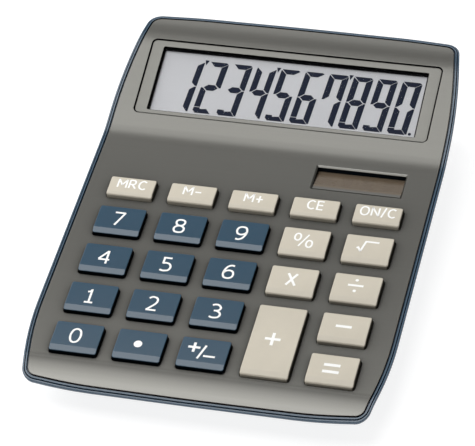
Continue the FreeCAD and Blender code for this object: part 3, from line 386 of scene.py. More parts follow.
def key_mesh(name, depth, small, edge_round, crease_round):
    """Key cap with rounded edges, a flat top, a bevelled front strip and the tabs that hold it in."""
    run, drop = (SMALL_BEVEL_RUN, SMALL_BEVEL_DROP) if small else (BEVEL_RUN, BEVEL_DROP)
    slope = drop / run

    def top(y):
        ahead = run - y
        if ahead <= -crease_round:
            return KEY_RISE
        if ahead >= crease_round:
            return KEY_RISE - slope * ahead
        return KEY_RISE - slope * (ahead + crease_round) ** 2 / (4 * crease_round)

    stops = [run + crease_round * share for share in (-1, -0.5, 0, 0.5, 1)]
    rings = []
    for step in range(ROUND_STEPS + 1):
        turn = math.radians(90 * step / ROUND_STEPS)
        inset = edge_round * (1 - math.cos(turn))
        below = edge_round * (1 - math.sin(turn))
        rings.append((inset, below))
    bm = bmesh.new()

    def ring(inset, height):
        outline = rounded_rectangle(KEY_WIDTH, depth, KEY_CORNER, inset, stops)
        return [bm.verts.new((x * MM, y * MM, height(y) * MM)) for x, y in outline]

    loops = [ring(0, lambda y: -DECK_UNDER - TAB_THICKNESS)]
    for inset, below in rings:
        loops.append(ring(inset, lambda y, below=below: top(y) - below))
    for low, high in zip(loops, loops[1:]):
        join_rings(bm, low, high)
    bm.faces.new(list(reversed(loops[0])))
    crown = loops[-1]
    count = len(crown)
    both_arcs = 2 * (CORNER_STEPS + 1)
    right = crown[both_arcs:both_arcs + len(stops)]
    left = list(reversed(crown[count - len(stops):]))
    front_arcs = crown[:both_arcs]
    rear_arcs = crown[both_arcs + len(stops):count - len(stops)]
    bm.faces.new([left[0]] + front_arcs + [right[0]])
    for i in range(len(stops) - 1):
        bm.faces.new((left[i], right[i], right[i + 1], left[i + 1]))
    bm.faces.new([left[-1], right[-1]] + rear_arcs)
    half_tab = TAB_WIDTH / 2
    tab_z = (-DECK_UNDER - TAB_THICKNESS, -DECK_UNDER)
    add_block(bm, (-half_tab, half_tab), (-TAB_REACH, CAP_WALL), tab_z)
    add_block(bm, (-half_tab, half_tab), (depth - CAP_WALL, depth + TAB_REACH), tab_z)
    return finished_mesh(bm, name, KEY_SHARP_ANGLE)


def key_places():
    """Every key as (node, legend, column middle, front edge, depth, small, number)."""
    places = []
    for row, keys in enumerate(KEY_ROWS):
        for column, key in enumerate(keys):
            if key is None:
                continue
            small = row == 0
            depth = SMALL_KEY_DEPTH if small else KEY_DEPTH
            front = SMALL_KEY_FRONT if small else -BEVEL_RUN - (row - 1) * KEY_PITCH_Y
            if key == "plus":
                depth += KEY_PITCH_Y
            middle = (column - (KEY_COLUMNS - 1) / 2) * KEY_PITCH_X
            number = not small and column < NUMBER_COLUMNS
            places.append(("key_" + key, WORDS.get(key, key), middle, front, depth, small, number))
    return places


def stroke(bm, line, width, height, closed=False):
    """Flat bar with square ends along a run of points, raised to height and joined at its turns."""
    count = len(line)
    sections = []
    for index in range(count):
        here = Vector(line[index])
        before = Vector(line[index - 1]) if index or closed else None
        after = Vector(line[(index + 1) % count]) if index + 1 < count or closed else None
        first = (here - before).normalized() if before else (after - here).normalized()
        second = (after - here).normalized() if after else first
        normal_first = Vector((-first.y, first.x))
        normal_second = Vector((-second.y, second.x))
        reach = 1 + normal_first.dot(normal_second)
        if reach < LEAST_MITRE:
            sections.append((here, normal_first * width / 2))
            sections.append((here, normal_second * width / 2))
        else:
            sections.append((here, (normal_first + normal_second) * (width / 2 / reach)))
    rings = []
    for here, side in sections:
        left, right = here + side, here - side
        corners = [(left, 0.0), (right, 0.0), (right, height), (left, height)]
        rings.append([bm.verts.new((p.x * MM, p.y * MM, z * MM)) for p, z in corners])
    pairs = list(zip(rings, rings[1:]))
    if closed:
        pairs.append((rings[-1], rings[0]))
    else:
        bm.faces.new(rings[0])
        bm.faces.new(list(reversed(rings[-1])))
    for low, high in pairs:
        join_rings(bm, low, high)


def add_plate(bm, outline, low, high):
    """Closed plate with a flat outline between two heights, in millimetres."""
    area = sum(x0 * y1 - x1 * y0 for (x0, y0), (x1, y1) in zip(outline, outline[1:] + outline[:1]))
    if area < 0:
        outline = list(reversed(outline))
    lower = [bm.verts.new((x * MM, y * MM, low * MM)) for x, y in outline]
    upper = [bm.verts.new((x * MM, y * MM, high * MM)) for x, y in outline]
    bm.faces.new(list(reversed(lower)))
    bm.faces.new(upper)
    join_rings(bm, lower, upper)


def disc(x, y, radius, sides):
    """Outline of a round dot."""
    turns = [2 * math.pi * i / sides for i in range(sides)]
    return [(x + radius * math.cos(t), y + radius * math.sin(t)) for t in turns]


def spline(points, closed):
    """Smooth line through points; a closed one comes back to its start."""
    count = len(points)
    spans = count if closed else count - 1
    line = []
    for i in range(spans):
        if closed:
            around = [points[(i + shift) % count] for shift in (-1, 0, 1, 2)]
        else:
            around = [points[min(max(i + shift, 0), count - 1)] for shift in (-1, 0, 1, 2)]
        for step in range(SPLINE_STEPS):
            t = step / SPLINE_STEPS
            line.append(tuple(
                0.5 * (2 * q + (r - p) * t + (2 * p - 5 * q + 4 * r - s) * t ** 2
                       + (3 * q - p - 3 * r + s) * t ** 3)
                for p, q, r, s in zip(*around)
            ))
    return line if closed else line + [points[-1]]


def legend_mesh(name, legend, size, weight, height):
    """Printed legend drawn with strokes of one width, centred on the origin."""
    bm = bmesh.new()
    if legend in SIGNS:
        layout = [(0.0, SIGNS[legend])]
    else:
        layout = []
        left = 0.0
        for character in legend:
            width, strokes = GLYPHS[character]
            across, up = width * size - weight, size - weight
            lines = [
                (kind, [(x * across + weight / 2, (y - 0.5) * up) for x, y in points], weight)
                for kind, points in strokes
            ]
            layout.append((left, lines))
            left += width * size + LETTER_GAP * size
        total = left - LETTER_GAP * size
        layout = [(start - total / 2, lines) for start, lines in layout]
    level = height
    for start, lines in layout:
        for kind, points, width in lines:
            points = [(x + start, y) for x, y in points]
            if kind == "dot":
                for x, y in points:
                    add_plate(bm, disc(x, y, width / 2, DOT_SIDES), 0.0, level)
            else:
                closed = kind == "loop"
                stroke(bm, points if kind == "line" else spline(points, closed), width, level, closed)
            level += LAYER_STEP
    return finished_mesh(bm, name, PRINT_SHARP_ANGLE)


def segment_outlines():
    """Outline of each bar of a seven-bar digit, upright, from its lower left corner."""
    w, h, tx, ty = DIGIT_WIDTH, DIGIT_HEIGHT, STROKE_X, STROKE_Y
    g = SEGMENT_GAP / 2
    soft = SEGMENT_SOFT
    mid = h / 2
    nib, foot = tx * NIB, ty * FOOT
    low_shoulder, high_shoulder = mid - ty * SHOULDER, mid + ty * SHOULDER
    low_waist, high_waist = mid - ty * WAIST, mid + ty * WAIST
    return {
        "a": [(g * 2, h), (w - soft * 2, h), (w - soft, h - soft * 0.4), (w - g * 2, h - soft),
              (w - tx, h - ty), (tx, h - ty)],
        "b": [(w, h - soft * 2), (w, mid + g), (w - nib, mid + g * 2), (w - tx, high_shoulder),
              (w - tx, h - ty - g * 2), (w - g, h - g - soft)],
        "c": [(w, mid - g), (w, g * 2), (w - soft, g * 2), (w - tx, ty + g), (w - tx, low_shoulder),
              (w - nib, mid - g * 2)],
        "d": [(soft * 2, 0), (w - soft, 0), (w - tx - g, ty), (tx * 1.1, ty * 0.85), (tx, foot),
              (0, foot), (0, soft * 2)],
        "e": [(0, foot + g * 2), (tx, foot + g * 2), (tx, low_shoulder), (nib, mid - g * 2), (0, mid - g)],
        "f": [(0, mid + g), (nib, mid + g * 2), (tx, high_shoulder), (tx, h - ty - g * 2), (g, h - g * 3),
              (0, h - soft * 2)],
        "g": [(tx * 0.45, mid), (tx + g, high_waist), (w - tx - g, high_waist), (w - tx * 0.45, mid),
              (w - tx - g, low_waist), (tx + g, low_waist)],
    }


def digits_mesh(name, text, height):
    """Dark bars of the number on the panel, with the thousands ticks and the decimal point."""
    bm = bmesh.new()
    slant = math.tan(math.radians(DIGIT_SLANT))
    bars = segment_outlines()

    def leaned(outline, x_start):
        return [(x_start + x + y * slant, DIGIT_BASE + y) for x, y in outline]

    for index, digit in enumerate(text):
        after = len(text) - 1 - index
        x_start = LAST_DIGIT_X - after * DIGIT_PITCH
        for bar in SEGMENTS[digit]:
            add_plate(bm, leaned(bars[bar], x_start), 0.0, height)
        if after and after % DIGITS_PER_TICK == 0:
            tick_x = DIGIT_WIDTH + (DIGIT_PITCH - DIGIT_WIDTH) / 2 - TICK_WIDTH * TICK_SHIFT
            top = DIGIT_HEIGHT + TICK_RISE
            tick = [(tick_x, top), (tick_x + TICK_WIDTH / 2, top - TICK_HEIGHT), (tick_x + TICK_WIDTH, top)]
            add_plate(bm, leaned(tick, x_start), 0.0, height)
    add_plate(bm, disc(*POINT_PLACE, POINT_RADIUS, POINT_SIDES), 0.0, height)
    return finished_mesh(bm, name, PRINT_SHARP_ANGLE)


# Materials

def principled(name, colour, roughness, metallic=0.0):
    """New material with constants set on the shader's own sockets; returns it, its tree and its shader."""
    material = bpy.data.materials.new(name)
    material.use_nodes = True
    tree = material.node_tree
    shader = tree.nodes["Principled BSDF"]
    shader.inputs["Base Color"].default_value = (*colour, 1)
    shader.inputs["Roughness"].default_value = roughness
    shader.inputs["Metallic"].default_value = metallic
    return material, tree, shader


def add_node(tree, kind, inputs=None, **settings):
    """New shader node of a kind, with its settings and the constants on its inputs."""
    node = tree.nodes.new("ShaderNode" + kind)
    for name, value in settings.items():
        setattr(node, name, value)
    for socket, value in (inputs or {}).items():
        node.inputs[socket].default_value = value
    return node


def spread(tree, value, reads, gives):
    """Value taken from one range to another and held at its ends; an end may be another node's output."""
    node = add_node(tree, "MapRange")
    for socket, end in zip(("From Min", "From Max", "To Min", "To Max"), (*reads, *gives)):
        if isinstance(end, bpy.types.NodeSocket):
            tree.links.new(end, node.inputs[socket])
        else:
            node.inputs[socket].default_value = end
    tree.links.new(value, node.inputs["Value"])
    return node.outputs["Result"]


def grain(tree, scale, detail, stretch=(1, 1, 1)):
    """Noise in the piece's own coordinates; scale is in waves per metre."""
    place = add_node(tree, "TexCoord")
    mapping = add_node(tree, "Mapping", {"Scale": stretch})
    noise = add_node(tree, "TexNoise", {"Scale": scale, "Detail": detail})
    tree.links.new(place.outputs["Object"], mapping.inputs["Vector"])
    tree.links.new(mapping.outputs["Vector"], noise.inputs["Vector"])
    return noise.outputs["Fac"]


def shade(colour, share):
    """Colour made darker or lighter by a share."""
    return tuple(c * share for c in colour)


def tint(tree, shader, wave, dark, light):
    """Base colour that runs between two colours along a wave."""
    ramp = add_node(tree, "ValToRGB")
    for stop, place, colour in zip(ramp.color_ramp.elements, WAVE_SPAN, (dark, light)):
        stop.position = place
        stop.color = (*colour, 1)
    tree.links.new(wave, ramp.inputs["Fac"])
    tree.links.new(ramp.outputs["Color"], shader.inputs["Base Color"])


def polish(tree, shader, wave, low, high):
    """Roughness that runs between two values along a wave."""
    tree.links.new(spread(tree, wave, WAVE_SPAN, (low, high)), shader.inputs["Roughness"])


def relief(tree, shader, wave, height, strength=1.0, edge=0.0):
    """Bump from a wave, its height in millimetres, over edges that catch light as if rounded by edge."""
    bump = add_node(tree, "Bump", {"Distance": height * MM, "Strength": strength})
    if edge:
        rounded = add_node(tree, "Bevel", {"Radius": edge * MM}, samples=EDGE_SAMPLES)
        tree.links.new(rounded.outputs["Normal"], bump.inputs["Normal"])
    tree.links.new(wave, bump.inputs["Height"])
    tree.links.new(bump.outputs["Normal"], shader.inputs["Normal"])


def dim(tree, shader, share):
    """Scale the base colour and the gloss by a node's value."""
    colour = shader.inputs["Base Color"]
    level = shader.inputs["Specular IOR Level"]
    scaled = add_node(tree, "VectorMath", operation="SCALE")
    gloss = add_node(tree, "Math", operation="MULTIPLY")
    if level.is_linked:
        tree.links.new(level.links[0].from_socket, gloss.inputs[1])
    else:
        gloss.inputs[1].default_value = level.default_value
    tree.links.new(colour.links[0].from_socket, scaled.inputs[0])
    tree.links.new(share, scaled.inputs["Scale"])
    tree.links.new(share, gloss.inputs[0])
    tree.links.new(scaled.outputs["Vector"], colour)
    tree.links.new(gloss.outputs["Value"], level)


def by_facing(tree, toward, cosines, values):
    """Value that runs between two as the surface turns towards a direction."""
    place = add_node(tree, "TexCoord")
    facing = add_node(tree, "VectorMath", {1: toward}, operation="DOT_PRODUCT")
    tree.links.new(place.outputs["Normal"], facing.inputs[0])
    return spread(tree, facing.outputs["Value"], cosines, values)


def by_depth(tree, places, values):
    """Value that runs between two along the world's Y axis, its places in millimetres."""
    place = add_node(tree, "NewGeometry")
    parts = add_node(tree, "SeparateXYZ")
    tree.links.new(place.outputs["Position"], parts.inputs["Vector"])
    return spread(tree, parts.outputs["Y"], [y * MM for y in places], values)


def dim_around(tree, shader, middle, reach, share):
    """Dim what lies within reach of a middle along X and Y, painting shade on such places as the walls of a
    light well.
    """
    place = add_node(tree, "NewGeometry")
    offset = add_node(tree, "VectorMath", {1: middle}, operation="SUBTRACT")
    size = add_node(tree, "VectorMath", operation="ABSOLUTE")
    parts = add_node(tree, "SeparateXYZ")
    inside = add_node(tree, "Math", operation="MULTIPLY")
    tree.links.new(place.outputs["Position"], offset.inputs[0])
    tree.links.new(offset.outputs["Vector"], size.inputs[0])
    tree.links.new(size.outputs["Vector"], parts.inputs["Vector"])
    for index, limit in enumerate(reach):
        near = add_node(tree, "Math", {1: limit}, operation="LESS_THAN")
        tree.links.new(parts.outputs[index], near.inputs[0])
        tree.links.new(near.outputs["Value"], inside.inputs[index])
    dim(tree, shader, spread(tree, inside.outputs["Value"], (0.0, 1.0), (1.0, share)))


def paint_wall_shade(tree, shader, toward, share, full):
    """Painted shade: dim by share what turns away from a direction; a cosine of full or more stays as it is.
    """
    dim(tree, shader, by_facing(tree, toward, (full - WALL_TURN, full), (share, 1.0)))


def paint_crevice_shade(tree, shader, reach, low, high, darkest=GROOVE_SHADE):
    """Painted shade: dim what lies in grooves and corners, looking reach millimetres around."""
    shadow = add_node(tree, "AmbientOcclusion", {"Distance": reach * MM}, samples=GROOVE_SAMPLES)
    dim(tree, shader, spread(tree, shadow.outputs["AO"], (low, high), (darkest, 1.0)))


def moulded_plastic(name, colour, roughness, gloss=0.5, texture=0.012, edge=0.0, walls=None):
    """Moulded plastic: fine spark-eroded grain, slight colour drift, uneven gloss, and painted shade on walls
    turned from the light and, with edge, in grooves.
    """
    material, tree, shader = principled(name, colour, roughness)
    shader.inputs["Specular IOR Level"].default_value = gloss
    tint(tree, shader, grain(tree, *COLOUR_DRIFT), shade(colour, 0.95), shade(colour, 1.05))
    # Painted shade on the walls that turn away from the light
    if walls:
        paint_wall_shade(tree, shader, *walls)
    # With edge, painted shade also darkens the housing's grooves and joints
    if edge:
        paint_crevice_shade(tree, shader, *HOUSING_GROOVES)
    polish(tree, shader, grain(tree, *POLISH_DRIFT), roughness * 0.97, roughness * 1.03)
    relief(tree, shader, grain(tree, *SPARK_GRAIN), texture, edge=edge)
    return material


def brushed_metal(name, colour, roughness, metallic, tilt):
    """Metal-coated plate brushed across its width, with faint streaks, painted shade on its cut edges and
    grooves and a painted highlight on its front bevels.
    """
    material, tree, shader = principled(name, colour, roughness, metallic)
    tint(tree, shader, grain(tree, *BRUSH_TINT), shade(colour, 0.985), shade(colour, 1.015))
    lean = math.radians(tilt)
    upward = (0, -math.sin(lean), math.cos(lean))
    # Painted shade on the faceplate's cut edges and walls
    paint_wall_shade(tree, shader, upward, *CUT_EDGES)
    # Painted shade in narrow grooves, and in wide ones between the keys on the flat face
    paint_crevice_shade(tree, shader, *NARROW_GROOVES)
    paint_crevice_shade(tree, shader, *WIDE_GROOVES, by_facing(tree, upward, FLAT_COSINES, FLAT_SHADES))
    # Painted highlight on the bevels that face the front
    dim(tree, shader, by_facing(tree, BEVEL_FACING, BEVEL_COSINES, BEVEL_PAINTED_HIGHLIGHT))
    polish(tree, shader, grain(tree, *BRUSH_POLISH), roughness * 0.99, roughness * 1.01)
    relief(tree, shader, grain(tree, *BRUSH_LINES), BRUSH_HEIGHT, edge=PLATE_EDGE)
    return material


def soft_rubber(name, colour, roughness):
    """Silicone or foot rubber: matt with a slight bloom."""
    material, tree, shader = principled(name, colour, roughness)
    tint(tree, shader, grain(tree, *RUBBER_BLOOM), shade(colour, 0.85), shade(colour, 1.2))
    relief(tree, shader, grain(tree, *RUBBER_GRAIN), 0.02)
    shader.inputs["Sheen Weight"].default_value = 0.1
    return material


def plated_metal(name, colour, roughness):
    """Plated steel or zinc with faint turning marks."""
    material, tree, shader = principled(name, colour, roughness, 1.0)
    tint(tree, shader, grain(tree, *PLATING_TINT), shade(colour, 0.85), shade(colour, 1.1))
    polish(tree, shader, grain(tree, *PLATING_POLISH), roughness * 0.7, roughness * 1.4)
    relief(tree, shader, grain(tree, *TURNING_MARKS), 0.006)
    return material


def clear_plastic(name, colour, alpha, roughness):
    """See-through sheet: faint tint with a glossy face."""
    material, tree, shader = principled(name, colour, roughness)
    shader.inputs["Alpha"].default_value = alpha
    shader.inputs["Specular IOR Level"].default_value = WINDOW_GLOSS
    polish(tree, shader, grain(tree, *SHEET_WAVES), roughness, roughness + 0.03)
    return material


def fading_window(name, colour, front_colour, alpha, roughness):
    """Tinted sheet that turns opaque and takes another colour towards its front."""
    material, tree, shader = principled(name, colour, roughness)
    shader.inputs["Specular IOR Level"].default_value = WINDOW_GLOSS
    place = add_node(tree, "TexCoord")
    split = add_node(tree, "SeparateXYZ")
    tree.links.new(place.outputs["Generated"], split.inputs["Vector"])
    fade = spread(tree, split.outputs["Y"], (0.0, WINDOW_FADE), (0.0, 1.0))
    tree.links.new(spread(tree, fade, (0.0, 1.0), (1.0, alpha)), shader.inputs["Alpha"])
    tint(tree, shader, fade, front_colour, colour)
    return material


def board_laminate(name, colour, copper):
    """Green laminate with lacquered copper tracks under its varnish."""
    material, tree, shader = principled(name, colour, 0.35)
    place = add_node(tree, "TexCoord")
    tracks = add_node(tree, "TexBrick", {
        "Scale": TRACK_SCALE,
        "Mortar Size": TRACK_WIDTH,
        "Color1": (*colour, 1),
        "Color2": (*shade(colour, 0.8), 1),
        "Mortar": (*copper, 1),
    })
    tree.links.new(place.outputs["Object"], tracks.inputs["Vector"])
    tree.links.new(tracks.outputs["Color"], shader.inputs["Base Color"])
    relief(tree, shader, tracks.outputs["Fac"], 0.03, 0.5)
    return material


def solar_silicon(name, colour):
    """Amorphous silicon in narrow strips with thin scribed lines."""
    material, tree, shader = principled(name, colour, 0.3)
    place = add_node(tree, "TexCoord")
    strips = add_node(tree, "TexWave", {"Scale": STRIP_SCALE}, wave_type="BANDS", bands_direction="X")
    tree.links.new(place.outputs["Object"], strips.inputs["Vector"])
    tint(tree, shader, strips.outputs["Fac"], shade(colour, 0.8), shade(colour, 1.15))
    polish(tree, shader, grain(tree, *CELL_POLISH), 0.25, 0.4)
    return material


def panel_glass(name, colour):
    """Liquid-crystal panel seen through its polariser: pale lavender grey with a silky grain."""
    material, tree, shader = principled(name, colour, 0.45)
    tint(tree, shader, grain(tree, *POLARISER_TINT), shade(colour, 0.97), shade(colour, 1.03))
    relief(tree, shader, grain(tree, *FILM_GRAIN), 0.002)
    return material


def printed_ink(name, colour, roughness, gloss=0.4):
    """Printed legend: dense ink with a slightly uneven film."""
    material, tree, shader = principled(name, colour, roughness)
    shader.inputs["Specular IOR Level"].default_value = gloss
    tint(tree, shader, grain(tree, *INK_TINT), shade(colour, 0.96), shade(colour, 1.0))
    relief(tree, shader, grain(tree, *FILM_GRAIN), 0.004)
    return material


def studio_paper(name, colour, glow):
    """Pale paper of the floor, which gives off a little light of its own."""
    material, tree, shader = principled(name, colour, 0.8)
    tint(tree, shader, grain(tree, *PAPER_TINT), shade(colour, 0.99), colour)
    shader.inputs["Emission Color"].default_value = (1, 1, 1, 1)
    shader.inputs["Emission Strength"].default_value = glow
    return material


def well_shade_plastic(plastic, window):
    """Copy of the housing's plastic with painted shade darkening the walls in the light well round a window.
    """
    material = plastic.copy()
    material.name = plastic.name + "_dark_well"
    corners = [window.matrix_world @ Vector(corner) for corner in window.bound_box]
    low, high = corners[0], corners[6]
    reach = (high - low) / 2 + Vector((WELL_MARGIN, WELL_MARGIN, 0)) * MM
    tree = material.node_tree
    dim_around(tree, tree.nodes["Principled BSDF"], (low + high) / 2, reach[:2], WELL_PAINTED_SHADE)
    return material


def dress(material, *nodes):
    """Give nodes of the frame their finish."""
    for node in nodes:
        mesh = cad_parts[node].data
        mesh.materials.clear()
        mesh.materials.append(material)


# Settings

def colour_setting(name, description, default):
    return FloatVectorProperty(
        name=name, description=description, default=default, size=3, min=0, max=1, subtype="COLOR"
    )


def number_setting(name, description, default, least, most, **more):
    return FloatProperty(name=name, description=description, default=default, min=least, max=most, **more)


class CalculatorKeySettings(PropertyGroup):
    number_round: number_setting(
        "Number key edge", "Edge radius of the dark keys, in mm", 0.25, 0.05, 0.6)
    function_round: number_setting(
        "Function key edge", "Edge radius of the pale keys, in mm", 0.45, 0.05, 0.65)
    legend_size: number_setting("Number size", "Height of the numbers, in mm", 5.65, 3, 7)
    legend_weight: number_setting(
        "Number stroke", "Width of the numbers' strokes, in mm", 0.62, 0.2, 1.2)
    small_legend_size: number_setting(
        "Small legend size", "Height of the memory keys' letters, in mm", 3.8, 2, 5)
    small_legend_weight: number_setting(
        "Small legend stroke", "Width of the small letters' strokes, in mm", 0.52, 0.2, 1.0)
    legend_height: number_setting(
        "Print height", "Thickness of the printed legends, in mm", 0.03, 0.01, 0.1)
    number_colour: colour_setting("Number keys", "Colour of the dark keys", (0.015, 0.052, 0.090))
    function_colour: colour_setting("Function keys", "Colour of the pale keys", (0.545, 0.50, 0.41))
    legend_colour: colour_setting("Legends", "Colour of the printed legends", (0.93, 0.93, 0.91))


class CalculatorDisplaySettings(PropertyGroup):
    number: StringProperty(
        name="Number shown", description="Digits on the display, at most ten", default="1234567890", maxlen=10
    )
    bar_height: number_setting("Bar height", "Thickness of the dark bars, in mm", 0.04, 0.01, 0.1)
    bar_colour: colour_setting("Bars", "Colour of the dark bars", (0.017, 0.021, 0.036))
    panel_colour: colour_setting("Panel", "Colour of the panel behind the bars", (0.455, 0.46, 0.48))


class CalculatorBodySettings(PropertyGroup):
    housing_colour: colour_setting("Housing", "Colour of the moulded housing", (0.022, 0.058, 0.10))
    plate_colour: colour_setting("Faceplate", "Colour of the metal-coated faceplate", (0.121, 0.119, 0.108))
    plate_roughness: number_setting(
        "Faceplate roughness", "How far the faceplate spreads reflections", 0.25, 0.1, 0.9, subtype="FACTOR")
    plate_metal: number_setting(
        "Faceplate metal", "Share of metal in the faceplate's coat", 0.53, 0, 1, subtype="FACTOR")
    cell_colour: colour_setting("Solar cell", "Colour of the cell behind its window", (0.135, 0.103, 0.072))


class CalculatorStageSettings(PropertyGroup):
    lens: number_setting("Lens", "Focal length of the camera", 230, 20, 400, subtype="DISTANCE_CAMERA")
    floor_colour: colour_setting("Floor", "Colour of the studio floor", (0.32, 0.32, 0.32))
    floor_glow: number_setting("Floor glow", "Light that the paper floor gives off", 0.84, 0, 2)
    world_light: number_setting("Room light", "Strength of the even light of the room", 0.12, 0, 3)
    overhead_light: number_setting("Overhead", "Power of the overhead soft box", 7.0, 0, 200, unit="POWER")
    rear_light: number_setting("Rear", "Power of the soft box behind", 2.0, 0, 200, unit="POWER")
    front_light: number_setting("Front", "Power of the soft box in front", 1.2, 0, 200, unit="POWER")
    side_light: number_setting("Side", "Power of the soft box at the rear left", 1.6, 0, 200, unit="POWER")


# Stage

def add_camera(lens):
    """Camera that looks as the photograph's does."""
    data = bpy.data.cameras.new("Camera")
    data.lens = lens
    data.sensor_width = SENSOR_WIDTH
    data.clip_start, data.clip_end = CAMERA_CLIP
    camera = add_to_scene("Camera", data)
    right = Vector(CAMERA_RIGHT).normalized()
    back = right.cross(Vector(CAMERA_UP)).normalized()
    up = back.cross(right)
    turn = Matrix((right, up, back)).transposed().to_4x4()
    camera.matrix_world = Matrix.Translation(CAMERA_PLACE) @ turn
    bpy.context.scene.camera = camera


def add_floor(colour, glow):
    """Flat paper floor at the height of the feet."""
    bm = bmesh.new()
    corners = [(-FLOOR_HALF, -FLOOR_HALF), (FLOOR_HALF, -FLOOR_HALF), (FLOOR_HALF, FLOOR_HALF),
               (-FLOOR_HALF, FLOOR_HALF)]
    bm.faces.new([bm.verts.new((x, y, 0)) for x, y in corners])
    mesh = bpy.data.meshes.new("studio_floor")
    bm.to_mesh(mesh)
    bm.free()
    mesh.materials.append(studio_paper("studio_paper", colour, glow))
    floor = add_to_scene("studio_floor", mesh)


def add_room(strength):
    """Even light from all round."""
    world = bpy.data.worlds.new("studio_room")
    world.use_nodes = True
    background = world.node_tree.nodes["Background"]
    background.inputs["Color"].default_value = (1, 1, 1, 1)
    background.inputs["Strength"].default_value = strength
    bpy.context.scene.world = world


def add_soft_box(name, power, place, target, width, height):
    """Rectangular light that faces its target; straight above it, its sides lie along X and Y."""
    data = bpy.data.lights.new(name, "AREA")
    data.shape = "RECTANGLE"
    data.size = width
    data.size_y = height
    data.energy = power
    box = add_to_scene(name, data)
    down = Vector(target) - Vector(place)
    turn = down.to_track_quat("-Z", "Y").to_matrix() if down.x or down.y else Matrix.Identity(3)
    box.matrix_world = Matrix.Translation(place) @ turn.to_4x4()


# Operators

class CALCULATOR_OT_stage(Operator):
    """Camera, floor, room light and soft boxes"""
    bl_idname = "calculator.stage"
    bl_label = "Studio stage"

    def execute(self, context):
        settings = context.scene.calculator_stage
        add_camera(settings.lens)
        add_floor(settings.floor_colour, settings.floor_glow)
        add_room(settings.world_light)
        for name, power, place, target, width, height in SOFT_BOXES:
            add_soft_box(name, getattr(settings, power), place, target, width, height)
        context.scene.view_settings.view_transform = "Standard"
        return {"FINISHED"}


class CALCULATOR_OT_keys(Operator):
    """Key caps with rounded edges and bevelled fronts"""
    bl_idname = "calculator.keys"
    bl_label = "Key caps"

    def execute(self, context):
        settings = context.scene.calculator_keys
        dark_finish = (settings.number_colour, 0.22, 0.6, 0.0006)
        pale_finish = (settings.function_colour, 0.4, 0.4, 0.0006)
        # Every key plastic carries painted shade on its walls; the small keys' plastic is a copy of the pale
        # one with its own painted shade
        dark = moulded_plastic("number_key_plastic", *dark_finish, walls=UNLIT_WALLS)
        pale = moulded_plastic("function_key_plastic", *pale_finish, walls=FRONT_LIT_WALLS)
        small_pale = moulded_plastic("small_key_plastic", *pale_finish, walls=BRIGHT_FRONT_WALLS)
        deck = deck_frame()
        for name, _, middle, front, depth, small, number in key_places():
            edge = settings.number_round if number else settings.function_round
            crease = NUMBER_CREASE if number else FUNCTION_CREASE
            mesh = key_mesh(name + "_cap", depth, small, edge, crease)
            place = deck @ Matrix.Translation((middle * MM, front * MM, 0))
            slot, material = ("key_blue", dark) if number else ("key_cream", small_pale if small else pale)
            piece = add_piece(name + "_cap", mesh, place, name, material)
            even = piece.modifiers.new("Even shading", "WEIGHTED_NORMAL")
            even.keep_sharp = True
            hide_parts(name)
        return {"FINISHED"}


class CALCULATOR_OT_legends(Operator):
    """Printed numbers and signs on the keys"""
    bl_idname = "calculator.legends"
    bl_label = "Key legends"

    def execute(self, context):
        settings = context.scene.calculator_keys
        ink = printed_ink("legend_ink", settings.legend_colour, 0.5)
        deck = deck_frame()
        for name, legend, middle, front, depth, small, _ in key_places():
            run, shift = BEVEL_RUN, LEGEND_SHIFT
            size, weight = settings.legend_size, settings.legend_weight
            if small:
                run, shift = SMALL_BEVEL_RUN, SMALL_LEGEND_SHIFT
                size, weight = settings.small_legend_size, settings.small_legend_weight
            x = middle + shift[0]
            y = front + run + (depth - run) / 2 + shift[1]
            mesh = legend_mesh(name + "_legend", legend, size, weight, settings.legend_height)
            place = deck @ Matrix.Translation((x * MM, y * MM, KEY_RISE * MM))
            add_piece(name + "_legend", mesh, place, name, ink)
        return {"FINISHED"}


class CALCULATOR_OT_display(Operator):
    """Digits on the panel, the panel's glass and the clear window"""
    bl_idname = "calculator.display"
    bl_label = "Display"

    def execute(self, context):
        settings = context.scene.calculator_display
        if not all(digit in SEGMENTS for digit in settings.number):
            raise ValueError("the number shown may hold only the digits 0 to 9")
        ink = printed_ink("crystal_bars", settings.bar_colour, 0.6, 0.0)
        mesh = digits_mesh("display_digits", settings.number, settings.bar_height)
        place = display_frame() @ Matrix.Translation((0, 0, -PANEL_DEPTH * MM))
        add_piece("display_digits", mesh, place, "housing", ink)
        dress(panel_glass("panel_glass", settings.panel_colour), "lcd_front_glass", "lcd_rear_glass")
        dress(plated_metal("reflector_film", (0.75, 0.75, 0.75), 0.3), "lcd_reflector")
        dress(clear_plastic("clear_window", (0.05, 0.05, 0.06), 0.02, 0.05), "display_window")
        return {"FINISHED"}


class CALCULATOR_OT_body(Operator):
    """Finishes of the faceplate, display frame and housing"""
    bl_idname = "calculator.body"
    bl_label = "Housing and faceplate"

    def execute(self, context):
        settings = context.scene.calculator_body
        finish = (settings.plate_colour, settings.plate_roughness, settings.plate_metal)
        plate = brushed_metal("brushed_plate", *finish, DECK_TILT)
        tree = plate.node_tree
        # Painted shade where the front roll starts and a painted highlight towards its edge
        for places, shades in ROLL_PAINTED_LIGHT:
            dim(tree, tree.nodes["Principled BSDF"], by_depth(tree, places, shades))
        dress(plate, "faceplate")
        dress(brushed_metal("brushed_frame", *finish, DECK_TILT + DISPLAY_LEAN), "display_frame")
        plastic = moulded_plastic("housing_plastic", settings.housing_colour, 0.25, 0.7, 0.001, HOUSING_EDGE)
        dress(plastic, "bottom_housing", "cell_cover")
        # Painted shade on the housing's walls in the solar cell's light well
        dress(well_shade_plastic(plastic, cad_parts["solar_window"]), "top_housing")
        dress(soft_rubber("foot_rubber", (0.02, 0.02, 0.02), 0.8), "rubber_feet")
        dress(plated_metal("zinc_screws", (0.45, 0.44, 0.42), 0.35), "housing_screws")
        return {"FINISHED"}


